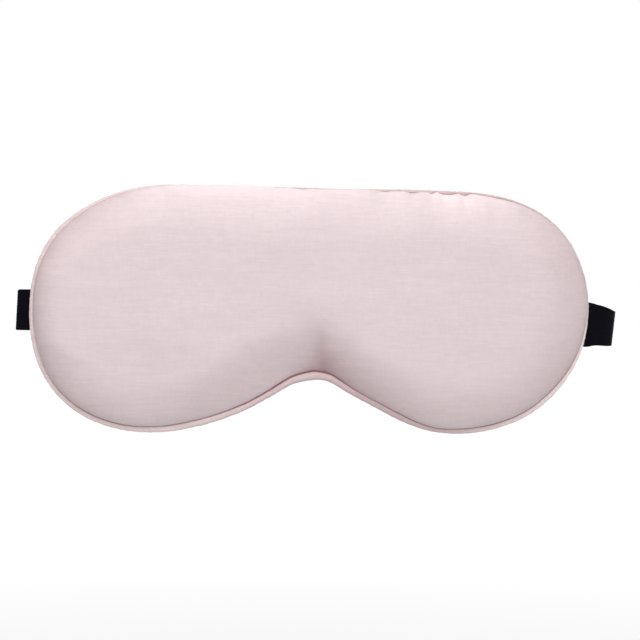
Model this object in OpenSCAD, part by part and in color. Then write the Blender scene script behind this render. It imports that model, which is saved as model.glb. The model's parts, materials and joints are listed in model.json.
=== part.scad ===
// Sleep eye mask: a padded satin mask with corded piping round its edge and an
// adjustable elastic strap behind it. X runs across the face, Y from the mask's
// front to the back of the head, and Z up. The origin lies midway between the
// eyes, on the strap's centre line and on the face side of the pad.

/* [Mask outline] */
// Width of the mask over its piping
mask_w = 214.5; // [195:0.5:230]
// Height of the mask from the lobes' lowest points to the top edge
mask_h = 92.7; // [84:0.1:102]
// Straight length of the top edge
top_flat = 104; // [70:1:110]
// Depth of the two lobes below the strap's centre line
lobe_drop = 43.5; // [36:0.5:50]
// Distance between the lowest points of the two lobes
lobe_gap = 116.5; // [100:0.5:126]
// Height of the nose notch above the lobes
notch_rise = 20.3; // [12:0.1:24]
// Height of the widest point above the strap's centre line
widest_z = 3.2; // [0:0.1:6]
// Squareness of the top corners, where 2 is an ellipse
top_round = 2.25; // [2:0.05:2.8]
// Squareness of the lobes' outer corners, where 2 is an ellipse
lobe_round = 2.2; // [2:0.05:2.6]
// Ease of the notch's sides, where less makes a narrower notch
notch_ease = 0.75; // [0.7:0.01:1]
// How far the mask's two ends bow back towards the ears
bow = 7; // [0:0.5:12]

/* [Pad] */
// How far the front panel puffs out from the seam
front_loft = 8.6; // [6:0.1:12]
// How far the back panel puffs out from the seam
back_loft = 5; // [4.5:0.1:8]
// Width of the rounded shoulder between the seam and the pad's flat middle
shoulder_w = 17; // [12:0.5:20]
// Extra height of the pad's centre, as a share of its loft
dome = 0.12; // [0:0.01:0.3]
// Height of the pad's highest point above the strap's centre line
dome_z = 8; // [4:0.5:14]
// Thickness of the satin panels
satin_t = 0.6; // [0.4:0.05:1]
// Thickness of the blackout lining
lining_t = 0.4; // [0.3:0.05:0.8]

/* [Piping] */
// Diameter of the piping bead over its cover
bead_d = 3; // [2.6:0.1:4]
// Diameter of the cord inside the piping
cord_d = 1.8; // [1.2:0.1:2]
// Thickness of the piping's sewn flange
flange_t = 0.8; // [0.5:0.1:1.2]
// Width of the piping's sewn flange
flange_w = 7; // [4:0.5:10]

/* [Elastic strap] */
// Width of the elastic
band_w = 16; // [10:0.5:20]
// Thickness of the elastic
band_t = 1.1; // [0.8:0.05:1.5]
// Length of each elastic end that is sewn into the seam
sewn_in = 7; // [5:0.5:9]
// How far the left elastic stands out beyond the mask's edge
fold_left = 4.2; // [4:0.1:9]
// How far the right elastic stands out beyond the mask's edge
fold_right = 15.8; // [9:0.1:18]
// Depth of the relaxed strap's arch behind its side folds
arch_depth = 88; // [85:1:98]
// Radius of the arch's two sides
arch_side_r = 65; // [50:1:72]

/* [Ring] */
// Distance along the tab from the right seam to the middle of the ring
ring_at = 56; // [52:0.5:60]
// Clear length between the ring's two bars
ring_gap = 6; // [5.5:0.1:8]
// Diameter of the ring's bars
ring_bar_d = 2; // [1.6:0.1:2.4]
// Height of the blocks that join the ring's bars
ring_end_h = 2.2; // [1.6:0.1:3]
// Thickness of the blocks that join the ring's bars
ring_end_t = 2.6; // [2.5:0.1:3.2]

/* [Slider] */
// Distance along the band from the ring's middle to the slider's middle bar
slider_at = 66; // [60:1:95]
// Length of the slider along the band
slider_l = 15; // [13:0.5:18]
// Thickness of the slider's bars and rails
slider_t = 1.6; // [1.2:0.1:2.4]
// Width of the slider's two outer bars along the band
slider_bar_w = 2.2; // [1.8:0.1:3]
// Diameter of the slider's middle bar
slider_pin_d = 1.8; // [1.6:0.1:2.2]
// Height of the slider's two rails
slider_rail_h = 2; // [1.6:0.1:3]
// Length of the band's end from the middle bar to its cut edge
tail_l = 16; // [14:0.5:22]
// Width of the bar tack along the band
tack_w = 1.8; // [1.2:0.1:2.4]
// Length of the bar tack across the band
tack_l = 12; // [8:0.5:14]

/* [Clearances] */
// Gap between layers that lie on each other
layer_gap = 0.1; // [0.05:0.01:0.15]
// Gap between pieces that move against each other
moving_gap = 0.3; // [0.2:0.01:0.4]
// Slack of an elastic loop round a ring bar
loop_slack = 0.45; // [0.3:0.05:0.6]
// Gap above and below the elastic in the ring and the slider
slot_gap = 0.5; // [0.3:0.05:0.8]

/* [Hidden] */
$fn = 48;

satin_pink = [0.88, 0.82, 0.84];
seam_pink = [0.85, 0.77, 0.80];
wadding_white = [0.93, 0.93, 0.91];
lining_black = [0.12, 0.12, 0.13];
cord_white = [0.88, 0.87, 0.84];
elastic_navy = [0.07, 0.07, 0.10];
plastic_black = [0.05, 0.05, 0.06];
thread_navy = [0.10, 0.10, 0.14];

half_w = mask_w / 2;
top_rise = mask_h - lobe_drop;
lobe_x = lobe_gap / 2;
// Ends of the stretches of one half of the outline, in points
flat_steps = 3;
corner_steps = 11;
lobe_steps = 9;
notch_steps = 11;

// The seam's middle plane, set so that the back panel's crown reaches the face plane
back_rim_y = flange_t / 2 + 2 * layer_gap + lining_t;
seam_y = -back_rim_y - back_loft * (1 + dome);
front_rim_y = -flange_t / 2 - layer_gap;
// The panels are sewn on just inside the piping's bead
panel_rim = bead_d + layer_gap;

// One half of the outline, from the top's middle to the notch's middle
function corner_point(a) = [
    top_flat / 2 + (half_w - top_flat / 2) * pow(cos(a), 2 / top_round),
    widest_z + (top_rise - widest_z) * pow(sin(a), 2 / top_round)
];
function lobe_point(a) = [
    lobe_x + (half_w - lobe_x) * pow(cos(a), 2 / lobe_round),
    widest_z - (lobe_drop + widest_z) * pow(sin(a), 2 / lobe_round)
];
function notch_point(x) = [
    x,
    notch_rise * (1 + cos(180 * pow(x / lobe_x, notch_ease))) / 2 - lobe_drop
];
half_outline = concat(
    [for (i = [0:flat_steps - 1]) [i * top_flat / 2 / flat_steps, top_rise]],
    [for (i = [0:corner_steps - 1]) corner_point(90 - 90 * i / corner_steps)],
    [for (i = [0:lobe_steps - 1]) lobe_point(90 * i / lobe_steps)],
    [for (i = [0:notch_steps]) notch_point(lobe_x * (1 - i / notch_steps))]
);
// The whole outline, once round without repeating a point
outline = concat(
    half_outline,
    [for (i = [len(half_outline) - 2:-1:1]) [-half_outline[i][0], half_outline[i][1]]]
);
round_n = len(outline);

function unit(v) = v / norm(v);
function outward(i) =
    let (along = unit(outline[(i + 1) % round_n] - outline[(i + round_n - 1) % round_n]))
    [-along[1], along[0]];
normals = [for (i = [0:round_n - 1]) outward(i)];

// A point of the pad: x and z in the mask's plane, y counted from the bowed seam plane
function place(x, y, z) = [x, seam_y + y + bow * pow(x / half_w, 2), z];
function inset_point(i, d) = outline[i] - d * normals[i];

// The pad's cross-section from the rim inwards: shares of the shoulder's width, then of
// the way left to the centre
shoulder_shares = [0, 0.07, 0.26, 0.58, 1];
inner_shares = [0.5];
function shoulder_lift(u) = sqrt(1 - pow(1 - u, 2.2));

// One face of a pad layer: rings of points from its rim to its centre, the same for every
// layer past the shoulder, so that the layers nest. face = [inset of the rim, y of the rim, loft]
flat_rim = panel_rim + shoulder_w;
function face_rings(face) = concat(
    [for (u = shoulder_shares) [for (i = [0:round_n - 1])
        let (p = inset_point(i, face[0] + u * (flat_rim - face[0])))
        place(p[0], face[1] + face[2] * shoulder_lift(u), p[1])]],
    [for (f = inner_shares) [for (i = [0:round_n - 1])
        let (p = inset_point(i, flat_rim) * f + [0, dome_z] * (1 - f))
        place(p[0], face[1] + face[2] * (1 + dome * (1 - f * f)), p[1])]]
);
function face_centre(face) = place(0, face[1] + face[2] * (1 + dome), dome_z);

// Triangles between ring a and ring b, and the same ones facing the other way
function ring_strip(a, b) = [for (i = [0:round_n - 1])
    let (k = (i + 1) % round_n)
    each [
        [a * round_n + i, a * round_n + k, b * round_n + k],
        [a * round_n + i, b * round_n + k, b * round_n + i]
    ]];
function turned(faces) = [for (f = faces) [f[0], f[2], f[1]]];

// A closed layer between a front face and a rear face
module pad_layer(front, rear) {
    rings = concat(face_rings(front), face_rings(rear));
    per_face = len(rings) / 2;
    points = concat(
        [for (ring = rings) each ring],
        [face_centre(front), face_centre(rear)]
    );
    front_centre = len(rings) * round_n;
    rear_centre = front_centre + 1;
    // Strips between neighbouring rings. The rear face has the front's triangles turned over,
    // so that two layers that lie on each other are cut along the same lines
    front_strips = [for (j = [0:per_face - 2]) each ring_strip(j, j + 1)];
    rear_strips = [for (j = [per_face:2 * per_face - 2]) each turned(ring_strip(j, j + 1))];
    rim_strip = ring_strip(per_face, 0);
    caps = [for (i = [0:round_n - 1])
        let (k = (i + 1) % round_n)
        each [
            [(per_face - 1) * round_n + i, (per_face - 1) * round_n + k, front_centre],
            [(2 * per_face - 1) * round_n + k, (2 * per_face - 1) * round_n + i, rear_centre]
        ]];
    polyhedron(points = points, faces = concat(front_strips, rear_strips, rim_strip, caps),
        convexity = 6);
}

// A closed section carried once round the outline. Its points are [inset, y]
module round_sweep(section) {
    n = len(section);
    points = [for (i = [0:round_n - 1]) for (q = section)
        let (p = inset_point(i, q[0]))
        place(p[0], q[1], p[1])];
    faces = [for (i = [0:round_n - 1]) for (j = [0:n - 1])
        let (k = (i + 1) % round_n, m = (j + 1) % n)
        each [
            [i * n + j, k * n + m, i * n + m],
            [i * n + j, k * n + j, k * n + m]
        ]];
    polyhedron(points = points, faces = faces, convexity = 8);
}

// The strap's route in plan, in stretches counted from the left seam. The elastic lies
// behind the piping's bead, leaves along the bowed pad and turns back round the head
edge_slope = atan(2 * bow / half_w);
band_y = bead_d / 2 + moving_gap + band_t / 2;
edge_y = seam_y + bow + band_y;
left_r = (fold_left - band_t / 2) / (1 - sin(edge_slope));
right_r = (fold_right - band_t / 2) / (1 - sin(edge_slope));
left_c = [-half_w + left_r * sin(edge_slope), edge_y + left_r * cos(edge_slope)];
right_c = [half_w - right_r * sin(edge_slope), edge_y + right_r * cos(edge_slope)];
arch_y = max(left_c[1], right_c[1]);
arch_x = (left_c[0] - left_r + right_c[0] + right_r) / 2;
arch_half = (right_c[0] + right_r - left_c[0] + left_r) / 2;
side_in = arch_half - arch_side_r;
side_up = arch_depth - arch_side_r;
back_drop = (pow(side_in, 2) - pow(side_up, 2)) / (2 * side_up);
back_r = arch_depth + back_drop;
back_c = [arch_x, arch_y - back_drop];
side_turn = atan(back_drop / side_in);
fold_turn = 90 - edge_slope;

function arc_length(r, a) = PI * r * a / 180;
s_left_fold = arc_length(left_r, fold_turn);
s_left_side = s_left_fold + arch_y - left_c[1];
s_back = s_left_side + arc_length(arch_side_r, side_turn);
s_right_side = s_back + arc_length(back_r, 180 - 2 * side_turn);
s_right_run = s_right_side + arc_length(arch_side_r, side_turn);
s_right_fold = s_right_run + arch_y - right_c[1];
s_end = s_right_fold + arc_length(right_r, fold_turn);

// A spot on the route: a point, and the direction that looks away from the head
function on_arc(c, r, a) = [c + r * [cos(a), sin(a)], [cos(a), sin(a)]];
function swept(s, r) = 180 * s / (PI * r);
left_out = [-sin(edge_slope), -cos(edge_slope)];
right_out = [sin(edge_slope), -cos(edge_slope)];
function spot(s) =
    s < 0 ? [[-half_w, edge_y] - s * [cos(edge_slope), -sin(edge_slope)], left_out] :
    s < s_left_fold ? on_arc(left_c, left_r, 270 - edge_slope - swept(s, left_r)) :
    s < s_left_side ? [[left_c[0] - left_r, left_c[1] + s - s_left_fold], [-1, 0]] :
    s < s_back ? on_arc([arch_x - side_in, arch_y], arch_side_r,
        180 - swept(s - s_left_side, arch_side_r)) :
    s < s_right_side ? on_arc(back_c, back_r, 180 - side_turn - swept(s - s_back, back_r)) :
    s < s_right_run ? on_arc([arch_x + side_in, arch_y], arch_side_r,
        side_turn - swept(s - s_right_side, arch_side_r)) :
    s < s_right_fold ? [[right_c[0] + right_r, arch_y - s + s_right_run], [1, 0]] :
    s < s_end ? on_arc(right_c, right_r, -swept(s - s_right_fold, right_r)) :
    [[half_w, edge_y] - (s - s_end) * [cos(edge_slope), sin(edge_slope)], right_out];
// The same spot moved in towards the head by d
function inside(s, d) = spot(s)[0] - d * spot(s)[1];

// Points of a layer from one spot to another, with the depth given by two ends and eased
function ease(u) = u * u * (3 - 2 * u);
function layer(from, to, n, deep_from, deep_to, eased_over) = [for (i = [0:n])
    let (s = from + (to - from) * i / n, u = min(1, abs(s - from) / eased_over))
    inside(s, deep_from + (deep_to - deep_from) * ease(u))];

// A half turn round a bar, from just past the outer layer's end to the inner layer
function half_turn(c, out, r, forward, n) = [for (i = [1:n])
    let (a = 180 * i / n)
    c + r * (cos(a) * out + sin(a) * forward)];
function reversed(list) = [for (i = [len(list) - 1:-1:0]) list[i]];

// A strip of elastic standing on edge along a route
function route_side(route, d) = [for (i = [0:len(route) - 1])
    let (along = unit(route[min(i + 1, len(route) - 1)] - route[max(i - 1, 0)]))
    route[i] + d * [along[1], -along[0]]];
module elastic(route) {
    linear_extrude(height = band_w, center = true)
        polygon(concat(route_side(route, band_t / 2), reversed(route_side(route, -band_t / 2))));
}

// Ring: the loops' turns, the two bars and where the layers settle on each other
loop_r = ring_bar_d / 2 + loop_slack + band_t / 2;
ring_half = (ring_gap + ring_bar_d) / 2;
s_ring = s_end - ring_at;
s_band_bar = s_ring - ring_half;
s_tab_bar = s_ring + ring_half;
ring_c = inside(s_ring, loop_r);
ring_out = spot(s_ring)[1];
ring_along = [ring_out[1], -ring_out[0]];
band_bar_c = inside(s_band_bar, loop_r);
tab_bar_c = inside(s_tab_bar, loop_r);
settle_l = 26;
opening_h = band_w + 2 * slot_gap;

// Slider: the layers' depths inside the band and the place of the middle bar
s_slider = s_ring - slider_at;
slider_turn = 180 - side_turn - swept(s_slider - s_back, back_r);
return_deep = band_t + moving_gap;
pin_loop_r = slider_pin_d / 2 + layer_gap + band_t / 2;
pin_c = inside(s_slider, return_deep + pin_loop_r);
slider_out = spot(s_slider)[1];
slider_back = [-slider_out[1], slider_out[0]];
tail_deep = return_deep + 2 * pin_loop_r;
tail_end_deep = return_deep + band_t + layer_gap;
tail_settle = tail_l / 2;
s_tack = s_slider + (tail_l + tail_settle) / 2;

band_route = concat(
    layer(-sewn_in, s_band_bar, 120, 0, 0, 1),
    half_turn(band_bar_c, spot(s_band_bar)[1], loop_r,
        [spot(s_band_bar)[1][1], -spot(s_band_bar)[1][0]], 10)
);
return_route = concat(
    layer(s_band_bar - moving_gap, s_slider, 44, 2 * loop_r, return_deep, settle_l),
    half_turn(pin_c, slider_out, pin_loop_r, slider_back, 10),
    layer(s_slider + tail_l / 14, s_slider + tail_l, 13, tail_deep, tail_end_deep, tail_settle)
);
tab_route = concat(
    layer(s_end + sewn_in, s_end, 2, 0, 0, 1),
    layer(s_end - 1, s_tab_bar, 36, 0, 0, 1),
    half_turn(tab_bar_c, spot(s_tab_bar)[1], loop_r,
        [-spot(s_tab_bar)[1][1], spot(s_tab_bar)[1][0]], 10),
    layer(s_tab_bar + 1, s_end - 1, 36, 2 * loop_r, band_t + layer_gap, settle_l),
    layer(s_end, s_end + sewn_in, 2, band_t + layer_gap, band_t + layer_gap, 1)
);

// Room in the back panel and its wadding for an elastic end of so many layers
module seam_pocket(side, layers) {
    thick = layers * band_t + (layers - 1) * layer_gap + 2 * moving_gap;
    translate([side * half_w, seam_y + bow + bead_d / 2, 0])
        rotate([0, 0, side * edge_slope])
            translate([-side * (sewn_in + moving_gap) / 2 + side * bead_d, thick / 2, 0])
                cube([sewn_in + moving_gap + 2 * bead_d, thick, band_w + 2 * moving_gap],
                    center = true);
}
module seam_pockets() {
    seam_pocket(-1, 1);
    seam_pocket(1, 2);
}

module front_panel() {
    color(satin_pink)
        pad_layer(
            [panel_rim, front_rim_y, -front_loft],
            [panel_rim + satin_t, front_rim_y, satin_t - front_loft]
        );
}

module front_wadding() {
    rim = panel_rim + satin_t + layer_gap;
    color(wadding_white)
        pad_layer(
            [rim, front_rim_y - layer_gap, satin_t + 2 * layer_gap - front_loft],
            [rim, front_rim_y, 0]
        );
}

module blackout_lining() {
    front_y = flange_t / 2 + layer_gap;
    color(lining_black)
        pad_layer([panel_rim, front_y, 0], [panel_rim, front_y + lining_t, 0]);
}

module back_wadding() {
    rim = panel_rim + satin_t + layer_gap;
    color(wadding_white)
        difference() {
            pad_layer(
                [rim, back_rim_y, 0],
                [rim, back_rim_y + layer_gap, back_loft - satin_t - 2 * layer_gap]
            );
            seam_pockets();
        }
}

module back_panel() {
    color(satin_pink)
        difference() {
            pad_layer(
                [panel_rim + satin_t, back_rim_y, back_loft - satin_t],
                [panel_rim, back_rim_y, back_loft]
            );
            seam_pockets();
        }
}

// The bead's centre lies half its width inside the outline. Its section is round, and
// the cover's has the flange on its inner side
bead_sides = 10;
function bead_section(r, first, last) = [for (i = [first:last])
    let (a = 360 * (i + 0.5) / bead_sides)
    [bead_d / 2 + r * cos(a), r * sin(a)]];

module piping_cover() {
    color(seam_pink)
        difference() {
            round_sweep(concat(
                bead_section(bead_d / 2, 0, bead_sides - 1),
                [[bead_d + flange_w, -flange_t / 2], [bead_d + flange_w, flange_t / 2]]
            ));
            round_sweep(bead_section(cord_d / 2 + layer_gap, 0, bead_sides - 1));
        }
}

module piping_cord() {
    color(cord_white)
        round_sweep(bead_section(cord_d / 2, 0, bead_sides - 1));
}

module strap_band() {
    color(elastic_navy) elastic(band_route);
}

module strap_return() {
    color(elastic_navy) elastic(return_route);
}

module ring_tab() {
    color(elastic_navy) elastic(tab_route);
}

// Two round bars between two end blocks with rounded ends
module strap_ring() {
    block_l = 2 * ring_half;
    color(plastic_black)
        translate([ring_c[0], ring_c[1], 0])
            rotate([0, 0, atan2(ring_along[1], ring_along[0])]) {
                for (x = [-ring_half, ring_half])
                    translate([x, 0, 0])
                        cylinder(h = opening_h + ring_end_h, d = ring_bar_d, center = true);
                for (z = [-1, 1])
                    translate([0, 0, z * (opening_h + ring_end_h) / 2])
                        linear_extrude(height = ring_end_h, center = true)
                            union() {
                                square([block_l, ring_end_t], center = true);
                                for (x = [-ring_half, ring_half])
                                    translate([x, 0])
                                        circle(d = ring_end_t);
                            }
            }
}

// Curved rails along the band, two outer bars in front of it and a middle bar behind it
module strap_slider() {
    outer_r = back_r + band_t / 2 + moving_gap;
    half_l = swept(slider_l / 2, back_r);
    bar_turn = swept(slider_bar_w, back_r);
    leg_r = norm(pin_c - back_c);
    leg_w = slider_pin_d + slider_bar_w / 2;
    color(plastic_black)
        translate([back_c[0], back_c[1], 0])
            rotate([0, 0, slider_turn]) {
                for (a = [-half_l, half_l - bar_turn])
                    rotate([0, 0, a])
                        rotate_extrude(angle = bar_turn, $fn = 180)
                            translate([outer_r, -opening_h / 2 - slider_rail_h / 2])
                                square([slider_t, opening_h + slider_rail_h]);
                for (z = [-1, 1])
                    translate([0, 0, z * (opening_h + slider_rail_h) / 2]) {
                        rotate([0, 0, -half_l])
                            rotate_extrude(angle = 2 * half_l, $fn = 180)
                                translate([outer_r - layer_gap, -slider_rail_h / 2])
                                    square([slider_t + 2 * layer_gap, slider_rail_h]);
                        translate([(leg_r - leg_w / 2 + outer_r + slider_t / 2) / 2, 0, 0])
                            cube([outer_r + slider_t / 2 - leg_r + leg_w / 2, leg_w,
                                slider_rail_h], center = true);
                    }
                translate([leg_r, 0, 0])
                    cylinder(h = opening_h + slider_rail_h, d = slider_pin_d, center = true);
            }
}

module end_bartack() {
    proud = layer_gap;
    depth = 2 * band_t + layer_gap + 2 * proud;
    c = inside(s_tack, (return_deep + tail_end_deep) / 2);
    out = spot(s_tack)[1];
    color(thread_navy)
        translate([c[0], c[1], 0])
            rotate([0, 0, atan2(out[1], out[0])])
                cube([depth, tack_w, tack_l], center = true);
}

front_panel();
front_wadding();
blackout_lining();
back_wadding();
back_panel();
piping_cover();
piping_cord();
strap_band();
strap_return();
ring_tab();
strap_ring();
strap_slider();
end_bartack();
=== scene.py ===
"""Sleep eye mask: a puffed satin pad with corded piping and an adjustable elastic strap.

Lengths are in metres. X runs across the face, Y from the mask's front to the back of the head, Z up.
"""

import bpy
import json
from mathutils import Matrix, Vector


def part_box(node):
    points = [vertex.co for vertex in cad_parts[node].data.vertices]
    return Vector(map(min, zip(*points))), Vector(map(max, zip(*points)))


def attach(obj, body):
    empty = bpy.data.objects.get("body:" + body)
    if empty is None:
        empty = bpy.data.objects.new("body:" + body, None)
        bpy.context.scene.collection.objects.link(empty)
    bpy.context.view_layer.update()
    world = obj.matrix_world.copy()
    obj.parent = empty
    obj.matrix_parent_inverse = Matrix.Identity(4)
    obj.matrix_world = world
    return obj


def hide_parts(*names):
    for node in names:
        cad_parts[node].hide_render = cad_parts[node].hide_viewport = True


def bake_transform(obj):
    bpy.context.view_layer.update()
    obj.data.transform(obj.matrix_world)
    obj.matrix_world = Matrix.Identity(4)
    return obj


bl_info = {
    "name": "Sleep Eye Mask",
    "version": (1, 0, 0),
    "blender": (4, 5, 0),
    "location": "View3D > Sidebar > Eye Mask",
    "description": "Builds a padded satin sleep mask with piping and an elastic strap",
    "category": "Add Mesh",
}

import json
import math

import bmesh
import bpy
import numpy as np
from mathutils import Quaternion, Vector, kdtree

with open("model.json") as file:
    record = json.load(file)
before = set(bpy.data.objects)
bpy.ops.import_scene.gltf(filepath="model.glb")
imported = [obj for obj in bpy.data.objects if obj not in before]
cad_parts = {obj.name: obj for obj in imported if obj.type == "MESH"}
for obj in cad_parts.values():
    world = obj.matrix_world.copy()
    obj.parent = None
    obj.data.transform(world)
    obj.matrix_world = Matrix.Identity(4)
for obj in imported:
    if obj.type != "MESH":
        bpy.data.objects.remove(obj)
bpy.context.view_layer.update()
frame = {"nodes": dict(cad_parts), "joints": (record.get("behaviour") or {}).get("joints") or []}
MM = 0.001

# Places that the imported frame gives
COVER_LOW, COVER_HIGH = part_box("piping_cover")
BAND_LOW, BAND_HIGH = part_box("strap_band")
TAB_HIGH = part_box("ring_tab")[1]
JOINTS = {joint["name"]: joint for joint in frame["joints"]}
SWING_AXIS = Vector(JOINTS["strap_swing"]["pos_m"])
# The cover's facets stand about this far inside the round that they stand for
FACET = 0.05 * MM
HALF_WIDTH = (COVER_HIGH.x - COVER_LOW.x) / 2 + FACET


# ------------------------------------------------
# Sizes and colours
# ------------------------------------------------


def length(name, description, default):
    """A length property in metres."""
    return bpy.props.FloatProperty(name=name, description=description, default=default, unit="LENGTH")


def number(name, description, default):
    """A plain number property."""
    return bpy.props.FloatProperty(name=name, description=description, default=default)


def colour(name, description, default):
    """A linear colour property."""
    return bpy.props.FloatVectorProperty(
        name=name, description=description, default=default, subtype="COLOR", size=3, min=0, max=1
    )


class EyeMaskOutline(bpy.types.PropertyGroup):
    """The mask's outer edge, over the piping."""

    width: length("Width", "Width over the piping", 2 * HALF_WIDTH)
    top: length("Top", "Height of the top edge above the strap line", COVER_HIGH.z + FACET)
    lobe_drop: length("Lobe depth", "Depth of the lobes below the strap line", FACET - COVER_LOW.z)
    top_flat: length("Top straight", "Straight length of the top edge", 104 * MM)
    lobe_gap: length("Lobe spacing", "Distance between the lobes' lowest points", 116.5 * MM)
    notch_rise: length("Notch height", "Height of the nose notch above the lobes", 20.3 * MM)
    widest: length("Widest height", "Height of the widest point above the strap line", 3.2 * MM)
    top_round: number("Top squareness", "Squareness of the top corners, where 2 is an ellipse", 2.25)
    lobe_round: number("Lobe squareness", "Squareness of the lobes' outer corners", 2.2)
    notch_ease: number("Notch ease", "How wide the notch's sides spread", 0.75)
    bow: length("Bow", "How far the ends bow back towards the ears", 7 * MM)
    seam: length("Seam plane", "Where the seam's middle plane lies at the nose", -6.6 * MM)
    skew: number("Skew", "Sideways drift of the soft pad with height, to the right going up", 0.039)


class EyeMaskPad(bpy.types.PropertyGroup):
    """The padded panels and their gathers."""

    front_loft: length("Front loft", "How far the front panel puffs out", 8.6 * MM)
    back_loft: length("Back loft", "How far the back panel puffs out", 5 * MM)
    front_rim: length("Front rim", "Front rim's distance from the seam plane", 0.35 * MM)
    back_rim: length("Back rim", "Back rim's distance from the seam plane", 0.9 * MM)
    shoulder: length("Shoulder", "Width of the rounded shoulder inside the seam", 19 * MM)
    dome: number("Dome", "Extra height of the middle, as a share of the loft", 0.12)
    rim_inset: length("Rim inset", "Distance from the outer edge to the panel's seam", 2.75 * MM)
    cloth: length("Cloth thickness", "Thickness of the satin", 0.45 * MM)


class EyeMaskPiping(bpy.types.PropertyGroup):
    """The corded piping."""

    bead: length("Bead", "Diameter of the bead over its cover", 3 * MM)
    cord: length("Cord", "Diameter of the twisted cord inside the bead", 1.8 * MM)
    flange: length("Flange", "Width of the sewn flange", 6 * MM)


class EyeMaskStrap(bpy.types.PropertyGroup):
    """The elastic, its ring and its slider."""

    width: length("Elastic width", "Width of the elastic", BAND_HIGH.z - BAND_LOW.z)
    thick: length("Elastic thickness", "Thickness of the elastic", 1.1 * MM)
    sewn_in: length("Sewn end", "Length of each end inside the seam", 7 * MM)
    fold_left: length("Left fold", "How far the left end stands out", -BAND_LOW.x - HALF_WIDTH)
    fold_right: length("Right fold", "How far the right end stands out", TAB_HIGH.x - HALF_WIDTH)
    side_radius: length("Side radius", "Radius of the arch's two sides", 65 * MM)
    arch_depth: length("Arch depth", "Depth of the relaxed arch", 88 * MM)
    ring_at: length("Ring place", "Distance from the right seam to the ring's middle", 56 * MM)
    settle: length("Settling length", "Length over which two layers come to lie on each other", 26 * MM)
    ring_gap: length("Ring gap", "Clear length between the ring's bars", 6 * MM)
    ring_bar: length("Ring bar", "Diameter of the ring's bars", 2 * MM)
    loop_slack: length("Loop slack", "Slack of the loops round the ring's bars", 0.45 * MM)
    loop_give: length("Loop give", "How much wider the limp loops stand open", 0.22 * MM)
    slider_at: length("Slider place", "Distance along the band from the ring to the slider", 66 * MM)
    slider_pin: length("Slider middle bar", "Diameter of the slider's middle bar", 1.8 * MM)
    tail: length("Band end", "Length of the band's end past the middle bar", 16 * MM)
    left_lift: length("Left end height", "How far the left end is sewn above the strap line", 1.85 * MM)
    right_lift: length("Right end height", "How far the right end is sewn above the strap line", -1.1 * MM)
    right_sag: length("Right sag", "How far the right end sags where it folds back", -2.65 * MM)


class EyeMaskColours(bpy.types.PropertyGroup):
    """Colours of the cloths and fittings, and of the painted shadow in the seam."""

    satin: colour("Satin", "Face colour of the satin", (0.706, 0.590, 0.608))
    piping: colour("Piping", "Colour of the piping's satin", (0.735, 0.600, 0.600))
    # The colour of the painted shadow deep in the seam
    seam: colour("Seam shadow", "Colour deep in the seam", (0.21, 0.10, 0.11))
    thread: colour("Seam thread", "Colour of the sewing thread", (0.50, 0.34, 0.37))
    dark_thread: colour("Bar tack thread", "Colour of the elastic's thread", (0.010, 0.010, 0.016))
    cord: colour("Cord", "Colour of the cord inside the piping", (0.75, 0.72, 0.66))
    elastic: colour("Elastic", "Colour of the elastic", (0.0045, 0.0045, 0.0075))
    plastic: colour("Plastic", "Colour of the ring and slider", (0.012, 0.012, 0.014))
    wadding: colour("Filling", "Colour of the filling", (0.86, 0.85, 0.82))
    lining: colour("Lining", "Colour of the blackout lining", (0.02, 0.02, 0.023))


class EyeMaskStage(bpy.types.PropertyGroup):
    """Camera, floor and lights."""

    distance: length("Camera distance", "From the camera to the mask", 0.65)
    field: length("Field width", "Width that the view takes in at the mask", 0.2421)
    yaw: number("Camera yaw", "Turn of the camera to the mask's left, in degrees", 8.0)
    pitch: number("Camera pitch", "How far the camera looks down, in degrees", 0.0)
    roll: number("Camera roll", "Clockwise turn of the mask in the view, in degrees", 0.69)
    aim_x: length("Aim across", "Where the view's middle meets the mask, across", 1.94 * MM)
    aim_y: length("Aim depth", "Where the view's middle meets the mask, front to back", -3.4 * MM)
    aim_z: length("Aim up", "Where the view's middle meets the mask, up", -0.65 * MM)
    floor: length("Floor", "Height of the floor", -0.2)


GROUPS = {
    "eye_mask_outline": EyeMaskOutline,
    "eye_mask_pad": EyeMaskPad,
    "eye_mask_piping": EyeMaskPiping,
    "eye_mask_strap": EyeMaskStrap,
    "eye_mask_colours": EyeMaskColours,
    "eye_mask_stage": EyeMaskStage,
}


# ------------------------------------------------
# The mask's outline
# ------------------------------------------------


def half_outline(o, steps=240):
    """One half of the outer edge, from the top's middle to the notch's middle."""
    half, flat, lobe = o.width / 2, o.top_flat / 2, o.lobe_gap / 2
    a = np.linspace(0, math.pi / 2, steps)
    c, s = np.clip(np.cos(a), 0, 1), np.clip(np.sin(a), 0, 1)
    top = np.stack([np.linspace(0, flat, steps), np.full(steps, o.top)], 1)
    out, up = s ** (2 / o.top_round), c ** (2 / o.top_round)
    corner = np.stack([flat + (half - flat) * out, o.widest + (o.top - o.widest) * up], 1)
    out, down = c ** (2 / o.lobe_round), s ** (2 / o.lobe_round)
    lower = np.stack([lobe + (half - lobe) * out, o.widest - (o.lobe_drop + o.widest) * down], 1)
    x = np.linspace(lobe, 0, steps)
    rise = (1 + np.cos(math.pi * (x / lobe) ** o.notch_ease)) / 2
    notch = np.stack([x, o.notch_rise * rise - o.lobe_drop], 1)
    return np.concatenate([top, corner[1:], lower[1:], notch[1:]])


def resampled(points, count):
    """The same closed line with evenly spaced points."""
    line = np.concatenate([points, points[:1]])
    step = np.linalg.norm(np.diff(line, axis=0), axis=1)
    run = np.concatenate([[0], np.cumsum(step)])
    at = np.linspace(0, run[-1], count + 1)[:-1]
    return np.stack([np.interp(at, run, line[:, k]) for k in (0, 1)], 1)


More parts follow.
